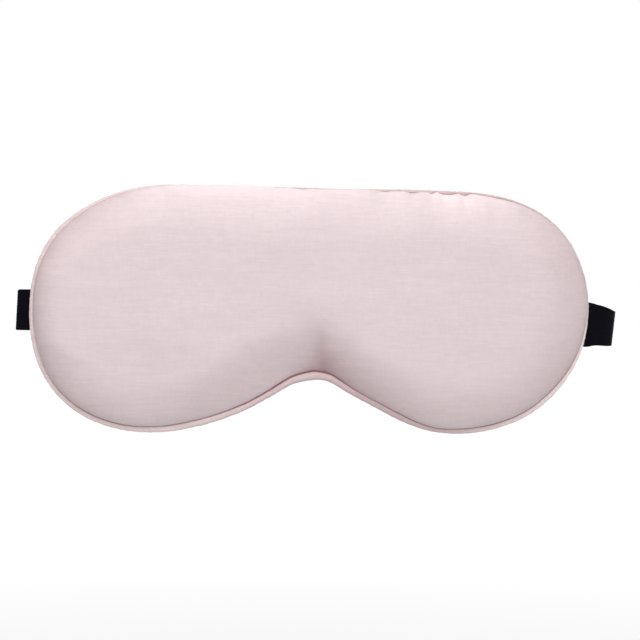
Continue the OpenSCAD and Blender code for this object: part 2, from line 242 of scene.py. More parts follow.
def smoothed(values, width):
    """Values along the closed edge, run through a short smoothing window."""
    kernel = np.hanning(width + 2)[1:-1]
    kernel /= kernel.sum()
    pad = width // 2
    wrapped = np.concatenate([values[-pad:], values, values[:pad]])
    return np.convolve(wrapped, kernel, "valid")[: len(values)]


# How far the sewn edge wanders out from its drawn line, by place along it from the top's middle, in mm
EDGE_WAVER = (
    (-272, 0.25), (-265, -0.50), (-257, 0.20), (-247, 0.55), (-224, -0.46), (-204, -0.08), (-180, -0.05),
    (-148, -0.67), (-132, -0.48), (-104, 0.26), (-88, -0.02), (-72, 0.14), (-36, -0.03), (-30, -0.22),
    (-12, -0.11), (8, -0.31), (32, 0.09), (60, -0.25), (88, 0.12), (112, -0.20), (120, 0.05), (131, 0.55),
    (144, 0.27), (160, -0.70), (170, -1.00), (192, -0.75), (208, -0.05), (224, 0.26), (244, -0.40),
    (257, -0.20), (266, -0.95), (272, 0.25),
)


def by_place(place, table):
    """A table's columns at places in metres; the table's first column is the place in mm."""
    rows = np.array(table)
    return [np.interp(place / MM, rows[:, 0], column) for column in rows[:, 1:].T]


class Edge:
    """The outer edge as evenly spaced points with their outward directions, in the X-Z plane."""

    def __init__(self, o, count=1440):
        half = half_outline(o)
        whole = np.concatenate([half, (half * [-1, 1])[::-1][1:-1]])
        whole[:, 0] += o.skew * (whole[:, 1] - 2 * MM)
        self.points = resampled(whole, count)
        along = np.roll(self.points, -1, 0) - np.roll(self.points, 1, 0)
        along /= np.linalg.norm(along, axis=1)[:, None]
        normals = np.stack([-along[:, 1], along[:, 0]], 1)
        normals = np.stack([smoothed(normals[:, k], 25) for k in (0, 1)], 1)
        self.normals = normals / np.linalg.norm(normals, axis=1)[:, None]
        self.step = np.linalg.norm(self.points[1] - self.points[0])
        self.length = self.step * count
        self.count = count
        self.o = o
        waver = by_place(self.place(np.arange(count) * self.step), EDGE_WAVER)[0]
        self.points = self.points + smoothed(waver, 11)[:, None] * MM * self.normals

    def place(self, along):
        """The place along the edge counted from the top's middle, positive towards +X."""
        return (along + self.length / 2) % self.length - self.length / 2

    def inset(self, depth):
        """The edge moved in by a depth, which widens with the piping round the nose notch."""
        wider = self.piping_share(np.arange(self.count) * self.step)
        return self.points - (depth * wider)[:, None] * self.normals

    def piping_share(self, along):
        """The piping's width as a share of its usual one: it is pressed flat round the nose notch."""
        from_notch = (self.length / 2 - np.abs(self.place(along))) / MM
        return 1 + 0.26 * np.exp(-((from_notch / 6.5) ** 2))

    def bowed(self, x):
        """The seam plane's y at x."""
        return self.o.seam + self.o.bow * (x / (self.o.width / 2)) ** 2


# ------------------------------------------------
# Meshes
# ------------------------------------------------


def placed(name, data):
    """A new object in the scene that holds this data."""
    made = bpy.data.objects.new(name, data)
    bpy.context.scene.collection.objects.link(made)
    return made


def new_piece(name, points, faces, smooth=True):
    """A mesh object at the origin, from points in metres."""
    mesh = bpy.data.meshes.new(name)
    mesh.from_pydata([tuple(p) for p in points], [], [tuple(f) for f in faces])
    mesh.validate()
    mesh.polygons.foreach_set("use_smooth", [smooth] * len(mesh.polygons))
    mesh.update()
    return placed(name, mesh)


def closed_shell(name, near, far, faces):
    """A closed piece from two sheets with the same faces, joined along their free edges.

    An edge is free where no neighbour runs along it the other way.
    """
    count = len(near)
    under = [tuple(v + count for v in face[::-1]) for face in faces]
    edges = dict.fromkeys(edge for face in faces for edge in zip(face, face[1:] + face[:1]))
    wall = [(b, a, a + count, b + count) for a, b in edges if (b, a) not in edges]
    return new_piece(name, np.concatenate([near, far]), faces + under + wall)


def baked(name, source):
    """A plain piece from what an object's modifiers make. The object itself goes."""
    view = bpy.context.evaluated_depsgraph_get()
    mesh = bpy.data.meshes.new_from_object(source.evaluated_get(view))
    mesh.name = name
    bpy.data.objects.remove(source)
    if not mesh.polygons:
        raise RuntimeError(f"{name} came out empty")
    return placed(name, mesh)


def add_wall(piece, thick, offset):
    """Gives a sheet its cloth's thickness, inwards at -1 and both ways at 0."""
    wall = piece.modifiers.new("Cloth thickness", "SOLIDIFY")
    wall.thickness = thick
    wall.offset = offset


def point_values(piece, name, values):
    """A value at each of the mesh's points."""
    attribute = piece.data.attributes.new(name, "FLOAT", "POINT")
    attribute.data.foreach_set("value", np.asarray(values, np.float32))


def loop_uvs(piece, name, uvs):
    """A UV map from one pair of values for each point."""
    layer = piece.data.uv_layers.new(name=name)
    corner = np.zeros(len(piece.data.loops), np.int32)
    piece.data.loops.foreach_get("vertex_index", corner)
    layer.data.foreach_set("uv", np.asarray(uvs, np.float32)[corner].ravel())


def finish_with(piece, material, body, replaced=()):
    """Gives a piece its material, its body and the CAD nodes that it stands for."""
    piece.data.materials.clear()
    piece.data.materials.append(material)
    if body:
        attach(piece, body)
    if replaced:
        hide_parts(*replaced)


def swept_faces(rings, sides, closed):
    """Quads between rings of points, each ring closed on itself."""
    faces = []
    for i in range(rings if closed else rings - 1):
        k = (i + 1) % rings
        for j in range(sides):
            m = (j + 1) % sides
            faces.append((i * sides + j, i * sides + m, k * sides + m, k * sides + j))
    return faces


def smoothstep(low, high, x):
    """A smooth rise from 0 to 1 between two values of x."""
    t = np.clip((x - low) / (high - low), 0, 1)
    return t * t * (3 - 2 * t)


# ------------------------------------------------
# The padded panels
# ------------------------------------------------


def disc_grid(across, up):
    """A square grid laid over a disc: radius and angle of each point, and the grid's quads."""
    x, y = np.meshgrid(np.linspace(-1, 1, across + 1), np.linspace(-1, 1, up + 1), indexing="ij")
    u, v = x * np.sqrt(1 - y * y / 2), y * np.sqrt(1 - x * x / 2)
    radius = np.hypot(u, v).ravel()
    angle = np.arctan2(v, u).ravel()
    row = up + 1
    first = [i * row + j for i in range(across) for j in range(up)]
    quads = [(v, v + row, v + row + 1, v + 1) for v in first]
    on_rim = (np.abs(x) > 1 - 1e-9) | (np.abs(y) > 1 - 1e-9)
    return radius, angle, quads, on_rim.ravel()


class Gathers:
    """Small folds that run in from the seam, each at its own place, width, length and depth."""

    def __init__(self, edge, seed, zones, known=()):
        rng = np.random.default_rng(seed)
        self.edge = edge
        self.rows = [tuple(v * MM for v in row[:4]) + tuple(row[4:]) for row in known]
        for start, end, spacing, depth, reach in zones:
            at = start
            while at < end:
                middle = at + rng.uniform(-0.3, 0.3) * spacing
                width = spacing * rng.uniform(0.16, 0.34)
                run = reach * rng.uniform(0.5, 1.4)
                dip = depth * rng.uniform(0.35, 1.25)
                self.rows.append((middle, width, run, dip, rng.uniform(-0.45, 0.45)))
                at += spacing * rng.uniform(0.6, 1.5)

    def depth(self, along, inward):
        """How deep the cloth dips at a place along the seam and a distance in from it.

        A gather is sharp at the seam and gets wider and rounder further in.
        """
        total = np.zeros_like(along)
        for at, width, reach, depth, lean in self.rows:
            off = self.edge.place(along - at - lean * inward)
            run = np.clip(inward / reach, 0, 3)
            spread = width * (1 + 1.6 * run)
            power = 1.1 + 0.9 * smoothstep(0, 0.7, run)
            total += depth * np.exp(-(np.abs(off / spread) ** power)) * np.exp(-(run**1.5))
        return total


# Nicks where the front cloth is drawn back from the piping, or bulges over it where the depth is negative:
# place, half width and depth in mm
NICKS = (
    (-28.5, 3.0, -0.30), (-9.0, 2.6, 0.25), (4.0, 1.6, -0.20), (9.5, 1.5, 0.20), (14.0, 2.6, -0.50),
    (23.5, 1.6, 0.20), (33.3, 1.6, 0.45), (35.3, 1.4, 0.40), (41.3, 0.9, 0.50), (43.4, 1.0, -0.35),
    (46.3, 1.6, 0.30), (48.6, 1.3, 0.45), (51.6, 0.9, -0.20), (54.0, 1.3, 0.60), (57.8, 2.2, -0.40),
)


def nicked(edge, along):
    """How far the nicks draw the cloth back, by place along the edge."""
    place = edge.place(along) / MM
    return sum(depth * MM * np.exp(-(np.abs((place - at) / wide) ** 2.4)) for at, wide, depth in NICKS)


# Gathers along the top edge of the front: place, width, reach and depth in mm, and lean
TOP_GATHERS = (
    (-61.0, 1.6, 7.0, 0.6, 0.10), (-43.0, 1.7, 7.5, 0.7, -0.10), (-31.0, 1.0, 4.0, 0.3, 0.15),
    (-18.5, 1.3, 7.0, 0.9, 0.05), (-7.0, 1.2, 5.0, 0.4, -0.20), (4.5, 1.0, 5.0, 0.5, 0.10),
    (14.0, 1.3, 7.0, 0.5, 0.20), (22.0, 1.0, 4.0, 0.4, 0.00), (33.6, 1.5, 5.5, 1.1, 0.10),
    (41.3, 0.8, 2.5, 0.6, 0.00), (45.6, 1.5, 5.5, 0.9, 0.10), (49.0, 0.8, 2.5, 0.6, 0.00),
    (54.0, 0.9, 3.5, 0.7, 0.10), (62.0, 0.7, 12.0, -0.25, 0.05), (68.0, 1.4, 6.0, 0.3, 0.10),
    (77.0, 0.7, 9.0, -0.22, 0.05),
)


def nearest_on(rim, flat):
    """For each point of the X-Z plane, the nearest point of the rim and the distance to it."""
    tree = kdtree.KDTree(len(rim))
    for i, (x, z) in enumerate(rim):
        tree.insert((x, z, 0), i)
    tree.balance()
    found = [tree.find((x, z, 0)) for x, z in flat]
    return np.array([hit[1] for hit in found]), np.array([hit[2] for hit in found])


def panel_points(edge, pad, grid, extra=0.0):
    """A flat panel's points on a grid, and where each lies along the seam and in from it.

    extra is how much smaller than the satin the panel is all round.
    """
    radius, angle, _, on_rim = grid
    rim = edge.inset(pad.rim_inset + extra)
    middle = np.array([0.0, 6 * MM])
    half_w, half_h = edge.o.width / 2, (edge.o.top + edge.o.lobe_drop) / 2
    turn = np.unwrap(np.arctan2((rim[:, 1] - middle[1]) / half_h, (rim[:, 0] - middle[0]) / half_w))
    order = np.argsort(turn)
    turn = turn[order]
    wide_turn = np.concatenate([turn - 2 * math.pi, turn, turn + 2 * math.pi])
    wide_rim = np.concatenate([rim[order]] * 3)
    at = np.stack([np.interp(angle, wide_turn, wide_rim[:, k]) for k in (0, 1)], 1)
    # The grid's lines are drawn closer together towards the rim
    radius = radius + 0.5 * radius * (1 - radius)
    flat = middle + radius[:, None] * (at - middle)
    nearest, inward = nearest_on(rim, flat)
    inward[on_rim] = 0
    normals = edge.normals[nearest]
    past = ((flat - rim[nearest]) * np.stack([normals[:, 1], -normals[:, 0]], 1)).sum(1)
    along = nearest * edge.step + np.clip(past, -edge.step, edge.step)
    return flat, nearest, along, inward, radius


def saddle(flat, o):
    """Share of the loft that is left over the bridge of the nose."""
    middle, half_width, height, most = -1.5 * MM, 13 * MM, 30 * MM, 0.45
    across = np.exp(-(((flat[:, 0] - middle) / half_width) ** 2))
    notch_z = o.notch_rise - o.lobe_drop
    up = 1 - smoothstep(notch_z, notch_z + height, flat[:, 1])
    return 1 - most * across * up


def puffed(edge, pad, side, gathers, creases, grid):
    """A panel's points in space, and where each lies along the seam and in from it.

    side is -1 for the front panel and 1 for the back one.
    """
    front = side < 0
    loft = pad.front_loft if front else pad.back_loft
    rim_y = pad.front_rim if front else pad.back_rim
    flat, nearest, along, inward, radius = panel_points(edge, pad, grid)
    width, power, flatten = shoulder(edge, along, side)
    share = np.clip(inward / (width * pad.shoulder), 0, 1)
    lift = (1 - (1 - share) ** flatten) ** power
    height = loft * lift * (1 + pad.dome * (1 - radius**2)) * saddle(flat, edge.o)
    gathered = gathers.depth(along, inward) * np.clip(inward / (1.2 * MM), 0, 1)
    # A crease takes at most a share of the height, so that it runs out smoothly into the seam
    most = 0.55 * height + 0.01 * MM
    dip = gathered + most * np.tanh(sum(crease(flat, inward) for crease in creases) / most)
    height = np.maximum(height - dip, 0.15 * height)
    # The puffed cloth leans out over the seam, most a little way in from it
    near = inward / (2.2 * MM)
    rolled = (near * np.exp(1 - near)) ** 0.8
    out = overhang(edge, along, side) * rolled
    if front:
        out = out - nicked(edge, along) * rolled
    out = out - 0.25 * gathered
    flat = flat + out[:, None] * edge.normals[nearest]
    y = edge.bowed(flat[:, 0]) + side * (rim_y + height)
    return np.stack([flat[:, 0], y, flat[:, 1]], 1), inward, along


# How far the front cloth leans out over the piping, by place along the edge, in mm
FRONT_LEAN = (
    (-272, 1.10), (-262, 1.20), (-252, 1.61), (-220, 1.21), (-200, 1.78), (-180, 1.93), (-148, 2.75),
    (-124, 3.15), (-112, 2.90), (-100, 2.60), (-40, 4.40), (-24, 4.32), (-8, 3.68), (12, 4.04),
    (24, 3.29), (36, 3.45), (52, 2.96), (100, 3.29), (132, 3.05), (140, 2.48), (168, 1.45), (204, 1.77),
    (220, 2.50), (236, 1.80), (252, 1.99), (264, 1.35), (272, 1.10),
)


def overhang(edge, along, side):
    """How far the cloth leans out past its seam, by place along the edge from the top's middle."""
    if side > 0:
        return np.full_like(along, 0.5 * MM)
    return by_place(edge.place(along), FRONT_LEAN)[0] * MM


# The front's shoulder by place along the edge: share of the full width, the power that shapes its foot,
# where a low power rises at once and a high one slowly, and how much it flattens towards the middle
FRONT_SHOULDER = (
    (-272, 0.95, 1.00, 2.1), (-256, 1.15, 1.00, 1.7), (-245, 1.10, 0.95, 1.8), (-222, 0.95, 0.70, 2.1),
    (-205, 1.00, 0.60, 2.3), (-172, 0.90, 0.60, 2.3), (-160, 0.70, 0.75, 2.3), (-150, 0.46, 0.88, 2.3),
    (-118, 0.58, 0.85, 2.3), (-95, 0.80, 0.72, 2.3), (-65, 0.95, 0.62, 2.3), (-55, 1.00, 0.46, 2.3),
    (60, 1.00, 0.46, 2.3), (72, 1.00, 0.60, 2.3), (100, 0.90, 0.75, 2.3), (124, 1.10, 0.60, 2.3),
    (156, 1.15, 0.62, 2.3), (180, 1.05, 0.62, 2.3), (205, 1.00, 0.64, 2.3), (222, 0.95, 0.75, 2.3),
    (245, 0.88, 0.95, 2.3), (260, 0.85, 1.00, 2.3), (272, 0.95, 1.00, 2.1),
)


def shoulder(edge, along, side):
    """The width share, the power and the flattening of a panel's shoulder, by place along the edge."""
    if side > 0:
        return np.ones_like(along), np.full_like(along, 0.5), np.full_like(along, 2.3)
    return by_place(edge.place(along), FRONT_SHOULDER)


def nose_creases(o):
    """The front's dents: one that rises from the nose notch and two soft hollows beside it."""
    notch_z = o.notch_rise - o.lobe_drop

    def crease(x0, lean, reach, width, depth):
        """A fold that runs up from the notch and gets wider and fainter."""

        def dip(flat, inward):
            up = flat[:, 1] - notch_z
            off = flat[:, 0] - x0 - lean * up
            fade = np.clip(1 - up / reach, 0, 1) ** 1.3 * smoothstep(0, 1 * MM, inward)
            return depth * fade * np.exp(-((off / (width * (1 + np.clip(up, 0, None) / reach))) ** 2))

        return dip

    def hollow(x0, z0, width, height, depth):
        """A soft dent by itself."""

        def dip(flat, inward):
            up = np.abs((flat[:, 1] - z0) / height)
            return depth * np.exp(-(((flat[:, 0] - x0) / width) ** 2) - up**3)

        return dip

    return [
        crease(1.6 * MM, -0.17, 24 * MM, 2.0 * MM, 2.1 * MM),
        hollow(-10.8 * MM, -1.5 * MM, 3.5 * MM, 9 * MM, 0.62 * MM),
        hollow(-62 * MM, -25 * MM, 17 * MM, 12 * MM, 0.8 * MM),
    ]


def swells(points, seed, scale, amount, count=14):
    """Slow, uneven swells of the filling, as an amount of lift for each point."""
    rng = np.random.default_rng(seed)
    total = np.zeros(len(points))
    for _ in range(count):
        turn = rng.uniform(0, math.pi)
        wave = 2 * math.pi / (scale * rng.uniform(0.7, 2.2))
        phase = rng.uniform(0, 2 * math.pi)
        across = points[:, 0] * math.cos(turn) + points[:, 2] * math.sin(turn)
        total += np.sin(wave * across + phase)
    return amount * total / math.sqrt(count)


# Cells across and up each panel's grid: the front one's carries the gathers and is finer
PANEL_CELLS = {-1: (400, 120), 1: (240, 80)}


def facing(faces, side):
    """The same faces, turned to look out of the front at -1 and out of the back at 1."""
    return faces if side < 0 else [face[::-1] for face in faces]


def make_panel(name, edge, pad, side, gathers, creases, seed):
    """One satin panel as a sheet."""
    grid = disc_grid(*PANEL_CELLS[side])
    points, inward, along = puffed(edge, pad, side, gathers, creases, grid)
    middle = smoothstep(3 * MM, 16 * MM, inward)
    points[:, 1] += side * swells(points, seed + 1, 42 * MM, 0.16 * MM) * middle
    piece = new_piece(name, points, facing(grid[2], side))
    # Painted shade and painted highlight beside the seam, and the seam's painted shadow line
    shade, line = painted_hem_light(edge, along, inward)
    point_values(piece, "painted_seam_shadow", 0.9 * line)
    point_values(piece, "painted_hem_light", shade + (painted_pinch_shade(points) if side < 0 else 0))
    return piece


# Painted shade on the cloth beside the seam, and a painted highlight where the strength is negative, by
# place
# along the edge: strength, where a negative one lightens, its width in mm, and the width of the painted
# shadow line where the cloth turns in
PAINTED_HEM_LIGHT = (
    (-272, 0.62, 5.5, 1.15), (-267, 0.30, 5.0, 1.15), (-262, 0.10, 4.0, 1.05), (-250, 0.05, 4.0, 1.05),
    (-225, 0.00, 5.0, 0.95), (-212, -0.02, 6.0, 0.80), (-200, 0.00, 6.0, 0.60), (-188, 0.12, 5.0, 0.60),
    (-160, 0.35, 4.5, 0.60), (-150, 0.42, 3.6, 0.60), (-115, 0.35, 4.0, 0.60), (-100, 0.34, 6.0, 0.60),
    (-86, 0.28, 7.0, 0.60), (-72, 0.16, 7.0, 0.60), (-60, -0.30, 5.0, 0.60), (-50, -0.60, 5.0, 0.60),
    (-10, -0.70, 5.0, 0.70), (2, -0.25, 6.0, 0.75), (12, -0.25, 6.0, 0.75), (19, 0.10, 6.0, 0.75),
    (29, -0.50, 6.0, 0.75), (37, 0.00, 6.0, 0.85), (45, -0.85, 7.0, 0.90), (52, -0.60, 7.0, 0.90),
    (60, -0.60, 7.0, 0.90), (68, -0.45, 6.0, 0.85), (76, 0.00, 8.0, 0.80), (90, 0.18, 11.0, 0.70),
    (114, 0.20, 11.0, 0.60), (124, 0.10, 10.0, 0.60), (150, 0.16, 9.0, 0.60), (172, 0.12, 5.0, 0.60),
    (200, 0.02, 5.0, 0.60), (214, -0.02, 6.0, 0.80), (228, 0.14, 5.0, 1.00), (244, 0.35, 5.0, 1.05),
    (262, 0.80, 6.0, 1.15), (272, 0.62, 5.5, 1.15),
)


def painted_hem_light(edge, along, inward):
    """Painted shade or painted highlight beside the seam, and how deep the seam's painted shadow line is."""
    strength, width, line = by_place(edge.place(along), PAINTED_HEM_LIGHT)
    shade = strength * np.exp(-((inward / (width * MM)) ** 1.6))
    return shade, np.exp(-((inward / (line * MM)) ** 3))


# Painted shade where the cloth is pinched above the nose notch: middle x and z, half width and half height
# in mm, and strength
PAINTED_PINCH_SHADE = (
    (3.4, -16.6, 5.0, 5.5, 0.42),
    (1.6, -9.0, 2.6, 6.0, 0.20),
)


def painted_pinch_shade(points):
    """How much painted shade darkens the pinched cloth above the nose notch."""
    x, z = points[:, 0] / MM, points[:, 2] / MM
    return sum(
        strength * np.exp(-(((x - x0) / wide) ** 2) - ((z - z0) / high) ** 2)
        for x0, z0, wide, high, strength in PAINTED_PINCH_SHADE
    )


def make_filling(name, panel, edge, pad, side):
    """The loose filling behind a panel: a closed pillow that follows the satin at a small distance."""
    mesh = panel.data
    points = np.zeros(len(mesh.vertices) * 3)
    normals = np.zeros(len(mesh.vertices) * 3)
    mesh.vertices.foreach_get("co", points)
    mesh.vertices.foreach_get("normal", normals)
    points, normals = points.reshape(-1, 3), normals.reshape(-1, 3)
    # How far it lies behind the cloth, its flat face off the seam's plane and its rim in from the seam
    behind, flat_gap, short = 1.1 * MM, 0.15 * MM, 2.0 * MM
    least_behind, least_thick = 0.5 * MM, 0.1 * MM
    covered = points[:, 1] - side * least_behind
    points = points - behind * normals
    base = edge.bowed(points[:, 0]) + side * ((pad.front_rim if side < 0 else pad.back_rim) + flat_gap)
    far = nearest_on(edge.inset(pad.rim_inset), points[:, [0, 2]])[1]
    # The filling ends short of the seam and nowhere comes through the satin
    keep = (far > short) & (side * (covered - base) > flat_gap)
    out = np.maximum(side * points[:, 1], side * base + least_thick)
    points[:, 1] = side * np.minimum(out, side * covered)
    # It takes every second point of the satin's grid
    across, up = PANEL_CELLS[side]
    row = up + 1
    corners = [i * row + j for i in range(0, across, 2) for j in range(0, up, 2)]
    faces = facing([(c, c + 2 * row, c + 2 * row + 2, c + 2) for c in corners], side)
    faces = [face for face in faces if all(keep[v] for v in face)]
    used = sorted({v for face in faces for v in face})
    index = {v: i for i, v in enumerate(used)}
    puffy = points[used]
    flat = puffy.copy()
    flat[:, 1] = base[used]
    return closed_shell(name, puffy, flat, [tuple(index[v] for v in face) for face in faces])


def make_lining(name, edge, pad):
    """The blackout cloth between the two fillings: a thin closed sheet just inside the seam."""
    grid = disc_grid(110, 46)
    flat = panel_points(edge, pad, grid, 0.6 * MM)[0]
    off_plane, thick = 0.52 * MM, 0.3 * MM
    rumple = 0.04 * MM * np.sin(flat[:, 0] / (2.3 * MM)) * np.sin(flat[:, 1] / (3.1 * MM))
    base = edge.bowed(flat[:, 0]) + off_plane + rumple
    near, far = [np.stack([flat[:, 0], base + lift, flat[:, 1]], 1) for lift in (0, thick)]
    return closed_shell(name, near, far, grid[2])


# ------------------------------------------------
# The piping
# ------------------------------------------------


def make_cord(name, edge, p):
    """The cotton cord inside the piping: three strands twisted together."""
    sides, strands, lay = 12, 3, 7 * MM
    around = np.linspace(0, 2 * math.pi, sides, endpoint=False)
    along = np.arange(edge.count) * edge.step
    phase = 2 * math.pi * round(edge.length / lay) * along / edge.length
    radius = p.cord / 2 * (0.95 + 0.05 * np.cos(strands * (around[None, :] - phase[:, None])))
    inset = p.bead / 2 + radius * np.cos(around)[None, :]
    flat = edge.points[:, None, :] - inset[:, :, None] * edge.normals[:, None, :]
    y = edge.bowed(flat[:, :, 0]) + radius * np.sin(around)[None, :]
    points = np.stack([flat[:, :, 0], y, flat[:, :, 1]], 2).reshape(-1, 3)
    return new_piece(name, points, swept_faces(edge.count, sides, closed=True))


# The piping by place along the edge: how much of it the front cloth leaves to be seen in mm, its painted
# light, where below 1 is painted shade and above 1 a painted highlight, and how dark the seam's painted
# shadow line beside it is
PIPING_FACE = (
    (-272, 2.50, 0.85, 1.0), (-252, 2.20, 0.86, 1.0), (-224, 2.55, 1.04, 1.0), (-212, 2.40, 1.13, 0.9),
    (-196, 1.93, 1.08, 0.7), (-172, 1.86, 1.10, 0.6), (-148, 1.84, 1.18, 0.6), (-108, 1.79, 1.00, 0.15),
    (-76, 0.80, 0.95, 0.15), (-60, 0.50, 0.95, 0.12), (-12, 0.45, 0.92, 0.3), (8, 0.50, 0.98, 0.2),
    (30, 0.78, 0.83, 0.35), (52, 1.20, 0.75, 0.7), (72, 0.90, 0.80, 0.5), (96, 0.60, 0.93, 0.12),
    (132, 0.82, 1.08, 0.15), (140, 1.34, 1.24, 0.5), (156, 1.57, 1.30, 0.5), (172, 2.17, 1.24, 0.7),
    (192, 1.94, 1.16, 0.7), (204, 2.11, 1.04, 1.0), (220, 1.70, 0.84, 1.0), (236, 2.20, 0.78, 1.0),
    (252, 2.20, 0.76, 1.0), (272, 2.50, 0.85, 1.0),
)


def squared(value):
    """A sine or cosine for a slightly squared round."""
    return math.copysign(abs(value) ** 0.72, value)


def make_piping(name, edge, p):
    """The bias cover: a strip folded round the cord, with its two layers as the flange."""
    bead, thick = p.bead / 2, 0.3 * MM
    middle = bead - thick / 2
    half_gap = thick / 2 + 0.02 * MM
    neck = math.asin(half_gap / middle)
    steps, ripple = 20, 0.035
    turn = np.linspace(math.pi + neck, 3 * math.pi - neck, steps + 1)
    flange = (2 * bead + p.flange, bead + 2.6 * bead, bead + 1.35 * bead)
    section = [(inset, -half_gap) for inset in flange]
    section += [(bead - middle * squared(math.cos(a)), middle * squared(math.sin(a))) for a in turn]
    section += [(inset, half_gap) for inset in flange[::-1]]
    section = np.array(section)
    sides, last = len(section), len(section) - len(flange)
    # Small uneven waves along the bead, where the cover is drawn over the cord
    rng = np.random.default_rng(11)
    waves = [
        (2 * math.pi * rng.integers(60, 260) / edge.length, rng.uniform(0, 6.28), rng.uniform(-1, 1))
        for _ in range(26)
    ]
    along = np.arange(edge.count) * edge.step
    wider = edge.piping_share(along)
    points = []
    for k, (inset, y) in enumerate(section):
        on_bead = len(flange) <= k < last
        grow, depth = 1, inset
        if on_bead:
            share = np.clip((k - len(flange)) / steps, 0, 1)
            swing = [np.sin(wave * along + phase + 3.0 * lean * share) for wave, phase, lean in waves]
            grow = 1 + ripple * (sum(swing) / len(waves) ** 0.5)
            depth = bead + (inset - bead) * grow
        flat = edge.points - (depth * wider)[:, None] * edge.normals
        points.append(np.stack([flat[:, 0], edge.bowed(flat[:, 0]) + y * grow, flat[:, 1]], 1))
    starts = list(range(0, edge.count * sides, sides))
    faces = [
        (i + j, k + j, k + j + 1, i + j + 1)
        for i, k in zip(starts, starts[1:] + starts[:1])
        for j in range(sides - 1)
    ]
    piece = new_piece(name, np.stack(points, 1).reshape(-1, 3), faces)
    # Painted light on the piping by place: below 1 painted shade, above 1 painted highlight
    seen, painted_piping_light, line = by_place(edge.place(along), PIPING_FACE)
    drawn = nicked(edge, along) / MM
    # The seam's painted shadow line is deeper where a nick draws the cloth back
    for word, values in (
        ("seen_width", seen + drawn),
        ("painted_piping_light", painted_piping_light),
        ("painted_seam_line", line + np.clip(drawn, 0, 1)),
    ):
        point_values(piece, word, np.repeat(smoothed(values, 3), sides))
    strip = np.stack([np.repeat(along * 100, sides), np.tile(section[:, 0] / MM, edge.count)], 1)
    loop_uvs(piece, "strip", strip)
    add_wall(piece, thick, 0)
    return piece


# ------------------------------------------------
# The elastic
# ------------------------------------------------


class Route:
    """The elastic's path in plan, counted from the left seam round the head to the right one."""

    def __init__(self, o, s):
        half = o.width / 2
        self.slope = math.atan(2 * o.bow / half)
        self.half, self.edge_y = half, SWING_AXIS.y
        cut = 1 - math.sin(self.slope)
        self.left_r = (s.fold_left - s.thick / 2) / cut
        self.right_r = (s.fold_right - s.thick / 2) / cut
        lean = np.array([math.sin(self.slope), math.cos(self.slope)])
        self.left_c = np.array([-half, self.edge_y]) + self.left_r * lean
        self.right_c = np.array([half, self.edge_y]) + self.right_r * lean * [-1, 1]
        self.arch_y = max(self.left_c[1], self.right_c[1])
        left, right = self.left_c[0] - self.left_r, self.right_c[0] + self.right_r
        self.arch_x, self.side_r = (left + right) / 2, s.side_radius
        self.side_in = (right - left) / 2 - s.side_radius
        side_up = s.arch_depth - s.side_radius
        drop = (self.side_in**2 - side_up**2) / (2 * side_up)
        self.back_r = s.arch_depth + drop
        self.back_c = np.array([self.arch_x, self.arch_y - drop])
        self.side_turn = math.atan(drop / self.side_in)
        fold = math.pi / 2 - self.slope
        stretches = [
            self.left_r * fold,
            self.arch_y - self.left_c[1],
            self.side_r * self.side_turn,
            self.back_r * (math.pi - 2 * self.side_turn),
            self.side_r * self.side_turn,
            self.arch_y - self.right_c[1],
            self.right_r * fold,
        ]
        self.ends = np.concatenate([[0], np.cumsum(stretches)])
        self.end = self.ends[-1]
        self.ring = self.end - s.ring_at
        self.slider = self.ring - s.slider_at
        # The bar tack's place on the band's end, past the slider's middle bar
        self.tack = self.slider + 0.75 * s.tail

    def arc(self, centre, radius, angle):
        """A point on an arc and the direction out from the arc's centre."""
        out = np.array([math.cos(angle), math.sin(angle)])
        return centre + radius * out, out

    def spot(self, at):
        """A point on the path and the direction that looks away from the head."""
        e, turn = self.ends, self.side_turn
        if at < 0:
            return (
                np.array([-self.half - at * math.cos(self.slope), self.edge_y + at * math.sin(self.slope)]),
                np.array([-math.sin(self.slope), -math.cos(self.slope)]),
            )
        if at < e[1]:
            return self.arc(self.left_c, self.left_r, 1.5 * math.pi - self.slope - at / self.left_r)
        if at < e[2]:
            return self.left_c + [-self.left_r, at - e[1]], np.array([-1.0, 0.0])
        if at < e[3]:
            side = np.array([self.arch_x - self.side_in, self.arch_y])
            return self.arc(side, self.side_r, math.pi - (at - e[2]) / self.side_r)
        if at < e[4]:
            return self.arc(self.back_c, self.back_r, math.pi - turn - (at - e[3]) / self.back_r)
        if at < e[5]:
            side = np.array([self.arch_x + self.side_in, self.arch_y])
            return self.arc(side, self.side_r, turn - (at - e[4]) / self.side_r)
        if at < e[6]:
            return np.array([self.right_c[0] + self.right_r, self.arch_y - at + e[5]]), np.array([1.0, 0.0])
        if at < e[7]:
            return self.arc(self.right_c, self.right_r, -(at - e[6]) / self.right_r)
        past = at - self.end
        return (
            np.array([self.half - past * math.cos(self.slope), self.edge_y - past * math.sin(self.slope)]),
            np.array([math.sin(self.slope), -math.cos(self.slope)]),
        )

    def inside(self, at, deep):
        """The point moved in towards the head."""
        point, out = self.spot(at)
        return point - deep * out

    def layer(self, start, end, step, deep_start, deep_end, eased):
        """Points of a layer, its depth inside the path eased from one value to the other."""
        count = max(2, int(abs(end - start) / step))
        rows = []
        for at in np.linspace(start, end, count + 1):
            u = min(1, abs(at - start) / eased)
            rows.append(self.inside(at, deep_start + (deep_end - deep_start) * u * u * (3 - 2 * u)))
        return rows

    def half_turn(self, centre, out, radius, forward, count=20):
        """A half turn round a bar, from the outer layer to the inner one."""
        turns = np.linspace(0, math.pi, count + 1)[1:]
        return [centre + radius * (math.cos(a) * out + math.sin(a) * forward) for a in turns]


